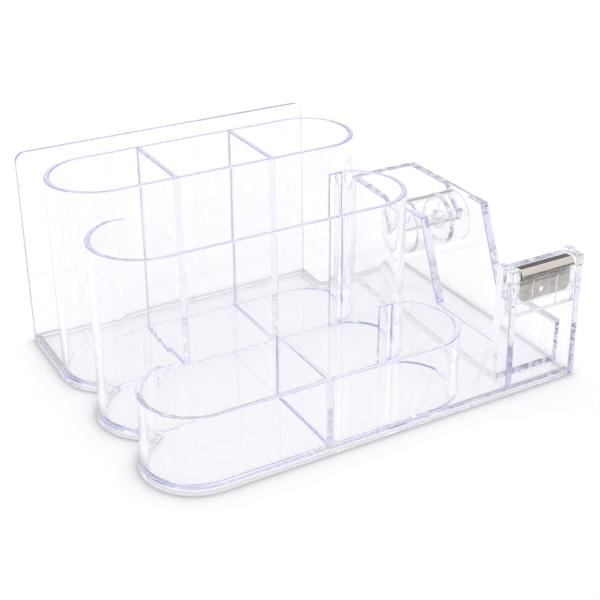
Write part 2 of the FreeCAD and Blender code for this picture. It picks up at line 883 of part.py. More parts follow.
def block_wall(label, left):
    body = new_body(label)
    sketch = new_sketch(body, label + "_outline", "YZ_Plane")
    polygon(
        sketch,
        [
            ("0", "base_thickness"),
            ("block_depth", "base_thickness"),
            ("block_depth", "block_top"),
            ("groove_rear", "block_top"),
            ("groove_rear", "groove_floor"),
            ("groove_front", "groove_floor"),
            ("groove_front", "tongue_top"),
            ("tongue_front", "tongue_top"),
        ],
    )
    plate = pad(body, sketch, label + "_pad", "block_wall")
    names = edges_near(
        body.Shape, Vector(1, 0, 0), [(None, dim("block_depth"), dim("block_top"))]
    )
    fillet(body, plate, label + "_corners", names, "block_corner")
    # a shallow window in the inner face takes the holder's catch
    offset = "block_wall - catch_depth - catch_gap" if left else "catch_depth + catch_gap"
    window = new_sketch(body, label + "_window", "YZ_Plane", offset)
    lo_y, hi_y = "catch_y - catch_width/2 - catch_gap", "catch_y + catch_width/2 + catch_gap"
    lo_z = "catch_z - catch_height/2 - catch_gap"
    hi_z = "catch_z + catch_height/2 + catch_gap"
    polygon(window, [(lo_y, lo_z), (hi_y, lo_z), (hi_y, hi_z), (lo_y, hi_z)])
    pocket(body, window, label + "_window_cut", "catch_depth + catch_gap", left)
    place(body, "cheek_left" if left else "base_length - block_wall", "0", "0")
    return body


def cutter_block():
    return [
        block_wall("cutter_left_wall", True),
        block_wall("cutter_right_wall", False),
        box(
            "cutter_rear_wall",
            "cheek_left + block_wall",
            "block_depth - block_rear",
            "base_thickness",
            "base_length - cheek_left - 2*block_wall",
            "block_rear",
            "block_rear_top - base_thickness",
        ),
    ]


# ------------------------------------------------------------ blade holder
# A clear insert between the block's side walls.  Its plate has a slot from
# above for the blade's tab, and its nose carries the blade's folded top.  Its
# end cheeks reach the side walls, with a small catch on each, and hook over
# them, down into their grooves.


def blade_holder():
    body = new_body("blade_holder")
    profile = new_sketch(body, "holder_profile", "YZ_Plane", "holder_inset")
    polygon(
        profile,
        [
            ("holder_front", "holder_foot"),
            ("holder_rear", "holder_foot"),
            ("holder_rear", "holder_rear_top"),
            ("tab_slot_rear", "holder_rear_top"),
            ("tab_slot_rear", "tab_slot_floor"),
            ("tab_slot_front", "tab_slot_floor"),
            ("tab_slot_front", "nose_root_z"),
            ("nose_rear_y", "nose_rear_z"),
            ("nose_top_y", "nose_top_z"),
            ("nose_step_y", "nose_step_z"),
            ("nose_front_y", "nose_step_z"),
            ("nose_front_y", "nose_foot_z"),
            ("holder_front", "nose_under_z"),
        ],
    )
    span = "base_length - cheek_left - 2*block_wall - 2*holder_inset"
    pad(body, profile, "holder_pad", span)
    ear = [
        ("holder_front", "holder_foot"),
        ("holder_rear", "holder_foot"),
        ("holder_rear", "ear_foot"),
        ("ear_rear", "ear_foot"),
        ("ear_rear", "ear_top"),
        ("nose_front_y", "ear_top"),
        ("nose_front_y", "nose_foot_z"),
        ("holder_front", "nose_under_z"),
    ]
    left = new_sketch(body, "holder_left_ear", "YZ_Plane")
    polygon(left, ear)
    pad(body, left, "holder_left_ear_pad", "holder_inset")
    right = new_sketch(
        body,
        "holder_right_ear",
        "YZ_Plane",
        "base_length - cheek_left - 2*block_wall - holder_inset",
    )
    polygon(right, ear)
    pad(body, right, "holder_right_ear_pad", "holder_inset")
    # each ear runs out over its side wall and down into the wall's groove
    hook = [
        ("groove_front + ear_gap", "groove_floor + ear_gap"),
        ("groove_rear - ear_gap", "groove_floor + ear_gap"),
        ("groove_rear - ear_gap", "ear_top"),
        ("ear_head_front + 0.3", "ear_top"),
        ("ear_head_front", "tongue_top + ear_gap"),
        ("groove_front + ear_gap", "tongue_top + ear_gap"),
    ]
    left_hook = new_sketch(body, "holder_left_hook", "YZ_Plane", "0 - block_wall")
    polygon(left_hook, hook)
    pad(body, left_hook, "holder_left_hook_pad", "block_wall")
    right_hook = new_sketch(
        body, "holder_right_hook", "YZ_Plane", "base_length - cheek_left - 2*block_wall"
    )
    polygon(right_hook, hook)
    pad(body, right_hook, "holder_right_hook_pad", "block_wall")
    # catches
    lo_y, hi_y = "catch_y - catch_width/2", "catch_y + catch_width/2"
    lo_z, hi_z = "catch_z - catch_height/2", "catch_z + catch_height/2"
    catch = [(lo_y, lo_z), (hi_y, lo_z), (hi_y, hi_z), (lo_y, hi_z)]
    c1 = new_sketch(body, "holder_left_catch", "YZ_Plane")
    polygon(c1, catch)
    pad(body, c1, "holder_left_catch_pad", "catch_depth", True)
    c2 = new_sketch(
        body, "holder_right_catch", "YZ_Plane", "base_length - cheek_left - 2*block_wall"
    )
    polygon(c2, catch)
    pad(body, c2, "holder_right_catch_pad", "catch_depth")
    # two ribs on the front of the plate; the plane's normal is -Y
    ribs = new_sketch(body, "holder_ribs", "XZ_Plane", "0 - holder_front")
    for x in ("rib_one_x", "rib_two_x"):
        lo = x + " - cheek_left - block_wall - rib_width/2"
        hi = x + " - cheek_left - block_wall + rib_width/2"
        polygon(
            ribs,
            [(lo, "rib_foot"), (hi, "rib_foot"), (hi, "nose_under_z"), (lo, "nose_under_z")],
        )
    pad(body, ribs, "holder_ribs_pad", "rib_proud")
    # the peg that the blade's hole goes over, on the rear of the front plate
    peg = new_sketch(body, "holder_peg", "XZ_Plane", "0 - tab_slot_front")
    circle(peg, "peg_x - cheek_left - block_wall", "peg_z", "peg_radius")
    pad(body, peg, "holder_peg_pad", "peg_length", True)
    place(body, "cheek_left + block_wall", "0", "0")
    return body


# ------------------------------------------------------------------- blade
# A strip of steel: a tab with rounded corners and a hole, a slope, a folded
# top and a toothed lip.


def cutter_blade():
    body = new_body("cutter_blade")
    line = [
        ("tab_y", "tab_foot"),
        ("tab_y", "bend_z"),
        ("crest_rear_y", "crest_rear_z"),
        ("crest_front_y", "crest_front_z"),
        ("lip_y", "lip_z"),
    ]
    pts = [(number(a), number(b)) for a, b in line]
    normals = []
    for p, q in zip(pts, pts[1:]):
        d = math.hypot(q[0] - p[0], q[1] - p[1])
        normals.append((-(q[1] - p[1]) / d, (q[0] - p[0]) / d))
    shift = [normals[0]]
    for a, b in zip(normals, normals[1:]):
        k = 1 + a[0] * b[0] + a[1] * b[1]
        shift.append(((a[0] + b[0]) / k, (a[1] + b[1]) / k))
    shift.append(normals[-1])

    def side(sign):
        out = []
        for (a, b), (sy, sz) in zip(line, shift):
            ty = "%s %s %.6f*blade_thickness" % (a, "+" if sign * sy >= 0 else "-", abs(sy) / 2)
            tz = "%s %s %.6f*blade_thickness" % (b, "+" if sign * sz >= 0 else "-", abs(sz) / 2)
            out.append((ty, tz))
        return out

    profile = new_sketch(body, "blade_profile", "YZ_Plane")
    polygon(profile, side(1) + side(-1)[::-1])
    strip = pad(body, profile, "blade_pad", "blade_width")
    names = edges_near(
        body.Shape,
        Vector(0, 1, 0),
        [(0.0, dim("tab_y"), dim("tab_foot")), (dim("blade_width"), dim("tab_y"), dim("tab_foot"))],
    )
    fillet(body, strip, "blade_tab_corners", names, "tab_corner")
    hole = new_sketch(body, "blade_hole", "XZ_Plane", "0 - tab_y - 1")
    circle(hole, "peg_x - blade_start", "peg_z", "hole_radius")
    # the plane's normal is -Y, so the pocket runs towards -Y when reversed
    pocket(body, hole, "blade_hole_cut", "2", True)
    # teeth: one notch, repeated along the lip
    count = int(math.floor((dim("blade_width") - 0.2) / dim("tooth_pitch")))
    notch = new_sketch(body, "blade_notch", "XZ_Plane", "0 - lip_y - 1.5")
    first = "%.3f" % ((dim("blade_width") - (count - 1) * dim("tooth_pitch")) / 2)
    foot = "lip_z - 0.3"
    polygon(
        notch,
        [
            (first + " - tooth_pitch*0.45", foot),
            (first + " + tooth_pitch*0.45", foot),
            (first, "lip_z + tooth_height"),
        ],
    )
    cut = pocket(body, notch, "blade_notch_cut", "2.5", True)
    one = body.Shape.Volume
    teeth = body.newObject("PartDesign::LinearPattern", "blade_teeth")
    teeth.Originals = [cut]
    teeth.Direction = (notch, ["H_Axis"])
    teeth.Length = (count - 1) * dim("tooth_pitch")
    bind(teeth, "Length", "%d*tooth_pitch" % (count - 1))
    teeth.Occurrences = count
    body.Tip = teeth
    doc.recompute()
    if not body.Shape.Volume < one - 1e-6:
        raise RuntimeError("the teeth's pattern cuts nothing")
    place(body, "blade_start", "0", "0")
    return body


# --------------------------------------------------------------- tape hub


def hub_axle():
    body = new_body("hub_axle")
    ring = new_sketch(body, "axle_section", "YZ_Plane")
    circle(ring, "0", "0", "axle_radius")
    length = "base_length - cheek_left - 2*cheek_thickness + 2*slot_depth - 2*axle_end_gap"
    rod = pad(body, ring, "axle_pad", length)
    mark = new_sketch(body, "axle_left_mark", "YZ_Plane", "mark_depth")
    circle(mark, "0", "0", "mark_radius")
    pocket(body, mark, "axle_left_mark_cut", "mark_depth")
    other = new_sketch(body, "axle_right_mark", "YZ_Plane", length + " - mark_depth")
    circle(other, "0", "0", "mark_radius")
    last = pocket(body, other, "axle_right_mark_cut", "mark_depth", True)
    names = []
    for k, edge in enumerate(body.Shape.Edges, start=1):
        if isinstance(edge.Curve, Part.Circle):
            if abs(edge.Curve.Radius - dim("axle_radius")) < 1e-6:
                names.append("Edge%d" % k)
    chamfer = body.newObject("PartDesign::Chamfer", "axle_chamfers")
    chamfer.Base = (last, names)
    chamfer.Size = dim("axle_chamfer")
    bind(chamfer, "Size", "axle_chamfer")
    doc.recompute()
    place(
        body,
        "cheek_left + cheek_thickness - slot_depth + axle_end_gap",
        "axle_y",
        "axle_z",
    )
    return body


def tape_hub():
    body = new_body("tape_hub")
    half = new_sketch(body, "drum_section", "XZ_Plane")
    inside = "drum_radius - drum_wall"
    web_end = "web_start + web_thickness"
    collar_end = "collar_start + collar_length"
    polygon(
        half,
        [
            ("drum_chamfer", "drum_radius"),
            ("drum_length - drum_chamfer", "drum_radius"),
            ("drum_length", "drum_radius - drum_chamfer"),
            ("drum_length", inside),
            (web_end, inside),
            (web_end, "collar_radius"),
            (collar_end, "collar_radius"),
            (collar_end, "bore_radius"),
            ("collar_start", "bore_radius"),
            ("collar_start", "collar_radius"),
            ("web_start", "collar_radius"),
            ("web_start", inside),
            ("0", inside),
            ("0", "drum_radius - drum_chamfer"),
        ],
    )
    turn = body.newObject("PartDesign::Revolution", "drum_turn")
    turn.Profile = half
    turn.ReferenceAxis = (half, ["H_Axis"])
    turn.Angle = 360.0
    half.Visibility = False
    body.Tip = turn
    doc.recompute()
    place(body, "drum_start", "axle_y", "axle_z")
    return body


pieces = [base_plate(), card_panel()]
pieces += rows()
pieces += dispenser()
pieces += cutter_block()
pieces += [blade_holder(), cutter_blade(), hub_axle(), tape_hub()]

doc.recompute()

# ------------------------------------------------------------------ checks
for obj in doc.Objects:
    states = set(obj.State)
    if "Invalid" in states or "Error" in states:
        raise RuntimeError("%s is in state %s" % (obj.Label, sorted(states)))
for piece in pieces:
    shape = piece.Shape
    if shape.isNull() or not shape.isValid():
        raise RuntimeError(piece.Label + " has no valid shape")
    if len(shape.Solids) != 1:
        raise RuntimeError("%s has %d solids" % (piece.Label, len(shape.Solids)))
labels = [piece.Label for piece in pieces]
if len(set(labels)) != len(labels):
    raise RuntimeError("two pieces share a label")

os.makedirs("parts", exist_ok=True)
low, high = [1e9] * 3, [-1e9] * 3
for piece in pieces:
    piece.Shape.exportStep(os.path.join("parts", piece.Label + ".step"))
    b = piece.Shape.BoundBox
    low = [min(p, q) for p, q in zip(low, (b.XMin, b.YMin, b.ZMin))]
    high = [max(p, q) for p, q in zip(high, (b.XMax, b.YMax, b.ZMax))]
    print(
        "%-24s %10.1f mm3  x %7.2f %7.2f  y %7.2f %7.2f  z %6.2f %6.2f"
        % (piece.Label, piece.Shape.Volume, b.XMin, b.XMax, b.YMin, b.YMax, b.ZMin, b.ZMax)
    )
print("pieces:", len(pieces))
print("overall: %s to %s" % ([round(v, 3) for v in low], [round(v, 3) for v in high]))
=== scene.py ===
import math

import bmesh
import bpy
from mathutils import Matrix, Vector


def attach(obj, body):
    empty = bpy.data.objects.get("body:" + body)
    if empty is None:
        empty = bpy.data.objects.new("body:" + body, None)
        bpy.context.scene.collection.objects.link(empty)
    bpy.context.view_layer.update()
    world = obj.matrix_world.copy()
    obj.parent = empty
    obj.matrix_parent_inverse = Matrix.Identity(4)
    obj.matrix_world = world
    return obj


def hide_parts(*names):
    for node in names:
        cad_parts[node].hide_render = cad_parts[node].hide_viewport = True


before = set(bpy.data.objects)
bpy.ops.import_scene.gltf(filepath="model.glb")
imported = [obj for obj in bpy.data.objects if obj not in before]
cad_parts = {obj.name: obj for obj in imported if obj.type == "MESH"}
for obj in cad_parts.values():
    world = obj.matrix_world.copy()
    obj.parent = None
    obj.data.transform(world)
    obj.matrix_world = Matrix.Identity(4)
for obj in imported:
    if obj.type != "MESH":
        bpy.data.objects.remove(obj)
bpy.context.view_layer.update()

# All shapes are drawn in millimetres from the front left corner of the base,
# and moved into the row frame, in metres, when their mesh is final.
SHIFT = (98.0, 73.8, 0.0)
TURN = 180.0


# ------------------------------------------------------------ outlines


def arc(cx, cy, r, a0, a1, step=3.0):
    """Points on an arc, both ends included, in degrees."""
    n = max(1, int(math.ceil(abs(a1 - a0) / step)))
    out = []
    for k in range(n + 1):
        a = math.radians(a0 + (a1 - a0) * k / n)
        out.append((cx + r * math.cos(a), cy + r * math.sin(a)))
    return out


def rounded(corners, step=10.0):
    """An outline from corners (u, v, radius)."""
    out = []
    n = len(corners)
    for k in range(n):
        px, py = corners[k - 1][:2]
        x, y, r = corners[k]
        nx, ny = corners[(k + 1) % n][:2]
        if r <= 0:
            out.append((x, y))
            continue
        u = Vector((px - x, py - y)).normalized()
        v = Vector((nx - x, ny - y)).normalized()
        half = u.angle(v) / 2
        t = r / math.tan(half)
        middle = (u + v).normalized() * (r / math.sin(half))
        a = Vector((x, y)) + u * t
        b = Vector((x, y)) + v * t
        c = Vector((x, y)) + middle
        a0 = math.atan2(a.y - c.y, a.x - c.x)
        a1 = math.atan2(b.y - c.y, b.x - c.x)
        d = (a1 - a0 + math.pi) % (2 * math.pi) - math.pi
        m = max(2, int(math.ceil(math.degrees(abs(d)) / step)))
        for i in range(m + 1):
            w = a0 + d * i / m
            out.append((c.x + r * math.cos(w), c.y + r * math.sin(w)))
    return tidy(out)


def tidy(points, tol=1e-4):
    out = []
    for p in points:
        if not out or math.hypot(p[0] - out[-1][0], p[1] - out[-1][1]) > tol:
            out.append(p)
    while len(out) > 2 and math.hypot(out[0][0] - out[-1][0], out[0][1] - out[-1][1]) <= tol:
        out.pop()
    return out


def area(points):
    s = 0.0
    for k in range(len(points)):
        x0, y0 = points[k - 1]
        x1, y1 = points[k]
        s += x0 * y1 - x1 * y0
    return s / 2


def ccw(points):
    return points if area(points) > 0 else points[::-1]


def inset(points, d):
    """A counter-clockwise outline moved inwards by d, corners mitred."""
    n = len(points)
    out = []
    for k in range(n):
        p, q, r = Vector(points[k - 1]), Vector(points[k]), Vector(points[(k + 1) % n])
        a, b = (q - p).normalized(), (r - q).normalized()
        na, nb = Vector((-a.y, a.x)), Vector((-b.y, b.x))
        w = (na + nb) / max(1 + na.dot(nb), 0.3)
        out.append((q.x + w.x * d, q.y + w.y * d))
    return out


def quarter(r, n=5):
    """(inset, depth) steps of a rounded edge, from the cap to the side."""
    return [
        (r * (1 - math.sin(math.pi / 2 * k / n)), r * (1 - math.cos(math.pi / 2 * k / n)))
        for k in range(n + 1)
    ]


# -------------------------------------------------------------- solids


def new_object(name, verts, faces, check=True):
    me = bpy.data.meshes.new(name)
    me.from_pydata([tuple(v) for v in verts], [], faces)
    bm = bmesh.new()
    bm.from_mesh(me)
    bmesh.ops.remove_doubles(bm, verts=bm.verts, dist=1e-6)
    bmesh.ops.recalc_face_normals(bm, faces=bm.faces)
    if bm.calc_volume(signed=True) < 0:
        bmesh.ops.reverse_faces(bm, faces=bm.faces)
    bm.to_mesh(me)
    open_edges = sum(1 for e in bm.edges if len(e.link_faces) != 2)
    bm.free()
    if check and open_edges:
        raise RuntimeError("%s has %d open edges" % (name, open_edges))
    ob = bpy.data.objects.new(name, me)
    bpy.context.scene.collection.objects.link(ob)
    return ob


AXES = {"x": (1, 2, 0), "y": (0, 2, 1), "z": (0, 1, 2)}


def spot(axis, u, v, w):
    """The outline is in (u, v) and the length along the axis is w."""
    p = [0.0, 0.0, 0.0]
    a, b, c = AXES[axis]
    p[a], p[b], p[c] = u, v, w
    return p


def prism(name, axis, outline, lo, hi, r_lo=0.35, r_hi=0.35):
    """An outline pushed along an axis, with rounded rims at both caps."""
    points = ccw(tidy(outline))
    n = len(points)
    loops = []
    steps = quarter(r_lo) if r_lo > 0 else [(0.0, 0.0)]
    for d, t in steps:
        loops.append([spot(axis, u, v, lo + t) for u, v in inset(points, d)])
    steps = quarter(r_hi) if r_hi > 0 else [(0.0, 0.0)]
    for d, t in reversed(steps):
        loops.append([spot(axis, u, v, hi - t) for u, v in inset(points, d)])
    verts = [p for loop in loops for p in loop]
    faces = [list(range(n)), list(range((len(loops) - 1) * n, len(loops) * n))]
    for k in range(len(loops) - 1):
        for i in range(n):
            j = (i + 1) % n
            faces.append([k * n + i, k * n + j, (k + 1) * n + j, (k + 1) * n + i])
    return new_object(name, verts, faces)


def slotted(name, outline, a, b, slot, x_out, x_floor, x_in, r=0.35):
    """A side panel: a full outline outside, and a blind slot, open at the
    top, in the inner face. a and b are the slot's ends in the outline, b
    first, and slot runs from b to a. a is not used: the outline point
    after b is taken as that end."""
    points = tidy(outline)
    if area(points) < 0:
        raise RuntimeError("the outline runs the wrong way")
    n = len(points)
    ib = min(range(n), key=lambda k: math.dist(points[k], b))
    ia = (ib + 1) % n
    inner = []
    for k in range(n):
        inner.append(points[k])
        if k == ib:
            inner.extend(slot)
    m = len(inner)
    s = 1.0 if x_in > x_out else -1.0
    verts, loops = [], {}

    def loop(key, pts, x):
        loops[key] = list(range(len(verts), len(verts) + len(pts)))
        verts.extend([(x, u, v) for u, v in pts])
        return loops[key]

    faces = []
    steps = quarter(r)
    previous = None
    for d, t in steps:
        now = loop(("o", d), inset(points, d), x_out + s * t)
        if previous is None:
            faces.append(list(now))
        else:
            for i in range(n):
                j = (i + 1) % n
                faces.append([previous[i], previous[j], now[j], now[i]])
        previous = now
    outer = previous
    previous = None
    for d, t in steps:
        now = loop(("i", d), inset(inner, d), x_in - s * t)
        if previous is None:
            faces.append(list(now))
        else:
            for i in range(m):
                j = (i + 1) % m
                faces.append([previous[i], previous[j], now[j], now[i]])
        previous = now
    inside = previous
    # the inner loop's index of each outline point
    where = [k if k <= ib else k + len(slot) for k in range(n)]
    floor_pts = [points[ib]] + list(slot) + [points[ia]]
    floor = loop("floor", floor_pts, x_floor)
    for i in range(n):
        j = (i + 1) % n
        if i == ib:
            faces.append([outer[i], outer[j], floor[-1], floor[0]])
            continue
        face = [outer[i], outer[j]]
        if j == ib:
            face.append(floor[0])
        face.append(inside[where[j]])
        face.append(inside[where[i]])
        if i == ia:
            face.append(floor[-1])
        faces.append(face)
    faces.append(list(floor))
    for k in range(len(floor) - 1):
        i, j = (ib + k) % m, (ib + k + 1) % m
        faces.append([floor[k], floor[k + 1], inside[j], inside[i]])
    return new_object(name, verts, faces)


def wall_section(top, thinner=0.0, rim=0.55, flare=0.35, foot=2.4):
    """A wall's cross section (offset, height) with a little draft, rounded
    at the top and with a small root radius where it stands on the base."""
    half_foot = 1.27 - thinner
    half_top = half_foot - 0.0015 * top
    side = [(half_foot + flare, foot)]
    for k in range(6):
        w = math.radians(-90 - 90 * k / 5)
        side.append(
            (
                half_foot + flare + flare * math.cos(w),
                3.58 + flare + flare * math.sin(w),
            )
        )
    for k in range(7):
        w = math.radians(90 * k / 6)
        side.append((half_top - rim + rim * math.cos(w), top - rim + rim * math.sin(w)))
    return side + [(-u, v) for u, v in reversed(side)]


def sweep(name, path, section, closed=False):
    """The section carried along a path of (x, y, normal x, normal y, scale)."""
    m = len(section)
    verts = []
    for x, y, nx, ny, k in path:
        verts.extend([(x + nx * u * k, y + ny * u * k, v) for u, v in section])
    faces = []
    count = len(path)
    for i in range(count if closed else count - 1):
        j = (i + 1) % count
        for a in range(m):
            b = (a + 1) % m
            faces.append([i * m + a, i * m + b, j * m + b, j * m + a])
    if not closed:
        faces.append(list(range(m)))
        faces.append(list(range((count - 1) * m, count * m)))
    return new_object(name, verts, faces)


def arc_path(cx, cy, r, a0, a1, step=2.8125):
    n = int(math.ceil(abs(a1 - a0) / step))
    out = []
    for k in range(n + 1):
        a = math.radians(a0 + (a1 - a0) * k / n)
        out.append((cx + r * math.cos(a), cy + r * math.sin(a), math.cos(a), math.sin(a), 1.0))
    return out


def u_path(xl, xr, yc, r, proud=1.2, tail_l=24.8, tail_r=121.2):
    """The front wall and both round ends of a row that leans on the row
    behind it. Each end turns a full quarter back and then runs along the
    wall behind, standing a little proud of it, up to a blunt edge."""

    def eased(cx, angles):
        # the arc draws in towards the straight run over its last 25 degrees
        pts = []
        for a in angles:
            w = math.radians(a)
            s = min(1.0, max(0.0, (a - 65.0) / 25.0 if a <= 90 else (115.0 - a) / 25.0))
            s = proud * s * s * (3.0 - 2.0 * s)
            pts.append((cx + r * math.cos(w), yc + r * math.sin(w) - s))
        return pts

    n = 64
    left = eased(xl, [90.0 + 180.0 * k / n for k in range(n + 1)])
    right = eased(xr, [-90.0 + 180.0 * k / n for k in range(n + 1)])
    y = yc + r - proud
    pts = [(tail_l, y), (tail_l - 0.08, y), (tail_l - 0.25, y)] + left
    pts += right + [(tail_r + 0.25, y), (tail_r + 0.08, y), (tail_r, y)]
    path = []
    for i, (x, y) in enumerate(pts):
        x0, y0 = pts[max(i - 1, 0)]
        x1, y1 = pts[min(i + 1, len(pts) - 1)]
        if i == n + 3 or i == n + 4:
            nx, ny = 0.0, -1.0
        else:
            d = math.hypot(x1 - x0, y1 - y0)
            nx, ny = (y1 - y0) / d, -(x1 - x0) / d
        k = {0: 0.84, 1: 0.94}.get(min(i, len(pts) - 1 - i), 1.0)
        path.append((x, y, nx, ny, k))
    return path


def lathe(name, profile, y, z, turns=128):
    """A closed profile (x, radius) turned about the hub's axis. Points of
    radius zero lie on the axis."""
    verts, rings = [], []
    for x, r in profile:
        if r < 1e-9:
            rings.append([len(verts)] * turns)
            verts.append((x, y, z))
            continue
        ring = []
        for k in range(turns):
            a = 2 * math.pi * k / turns
            ring.append(len(verts))
            verts.append((x, y + r * math.cos(a), z + r * math.sin(a)))
        rings.append(ring)
    faces = []
    n = len(rings)
    closed = profile[0][1] > 1e-9
    for i in range(n if closed else n - 1):
        j = (i + 1) % n
        for k in range(turns):
            l = (k + 1) % turns
            face = []
            for v in (rings[i][k], rings[i][l], rings[j][l], rings[j][k]):
                if v not in face:
                    face.append(v)
            if len(face) > 2:
                faces.append(face)
    return new_object(name, verts, faces)


def boolean(a, b, operation):
    """Join or cut with the manifold solver and keep the result as a mesh."""
    m = a.modifiers.new("join", "BOOLEAN")
    m.operation = operation
    m.solver = "MANIFOLD"
    m.object = b
    dg = bpy.context.evaluated_depsgraph_get()
    me = bpy.data.meshes.new_from_object(a.evaluated_get(dg))
    if not len(me.polygons):
        raise RuntimeError("joining %s and %s left nothing" % (a.name, b.name))
    a.modifiers.clear()
    old = a.data
    a.data = me
    bpy.data.meshes.remove(old)
    mesh = b.data
    bpy.data.objects.remove(b)
    bpy.data.meshes.remove(mesh)
    return a


def join(first, *others):
    for o in others:
        boolean(first, o, "UNION")
    return first


def cut(first, *others):
    for o in others:
        boolean(first, o, "DIFFERENCE")
    return first


def settle(ob, name, sharp=24.0, weld=2e-4):
    """Clean the mesh, move it into the row frame and give it steady normals:
    flat faces stay optically flat and the small radii blend between them."""
    me = ob.data
    bm = bmesh.new()
    bm.from_mesh(me)
    bmesh.ops.remove_doubles(bm, verts=bm.verts, dist=weld)
    bmesh.ops.dissolve_degenerate(bm, edges=bm.edges, dist=1e-5)
    bmesh.ops.dissolve_limit(
        bm,
        angle_limit=math.radians(0.02),
        verts=bm.verts,
        edges=bm.edges,
        delimit={"NORMAL"},
    )
    bmesh.ops.recalc_face_normals(bm, faces=bm.faces)
    if bm.calc_volume(signed=True) < 0:
        bmesh.ops.reverse_faces(bm, faces=bm.faces)
    open_edges = sum(1 for e in bm.edges if len(e.link_faces) != 2)
    print("MESH %s: %d faces, %d open edges, %.1f mm3" % (
        name, len(bm.faces), open_edges, bm.calc_volume()))
    for v in bm.verts:
        v.co = Vector(((v.co.x - SHIFT[0]) / 1000, (v.co.y - SHIFT[1]) / 1000, v.co.z / 1000))
    for f in bm.faces:
        f.smooth = True
    limit = math.radians(sharp)
    for e in bm.edges:
        e.smooth = len(e.link_faces) == 2 and e.calc_face_angle(0.0) < limit
    bm.to_mesh(me)
    bm.free()
    me.update()
    m = ob.modifiers.new("steady", "WEIGHTED_NORMAL")
    m.mode = "FACE_AREA"
    m.weight = 60
    m.keep_sharp = True
    dg = bpy.context.evaluated_depsgraph_get()
    final = bpy.data.meshes.new_from_object(ob.evaluated_get(dg))
    ob.modifiers.clear()
    ob.data = final
    bpy.data.meshes.remove(me)
    ob.name = name
    final.name = name
    return ob


# ---------------------------------------------------------- materials


def node(tree, kind, x, y, **values):
    n = tree.nodes.new(kind)
    n.location = (x, y)
    for key, value in values.items():
        if hasattr(n, key):
            setattr(n, key, value)
        else:
            n.inputs[key.replace("_", " ")].default_value = value
    return n


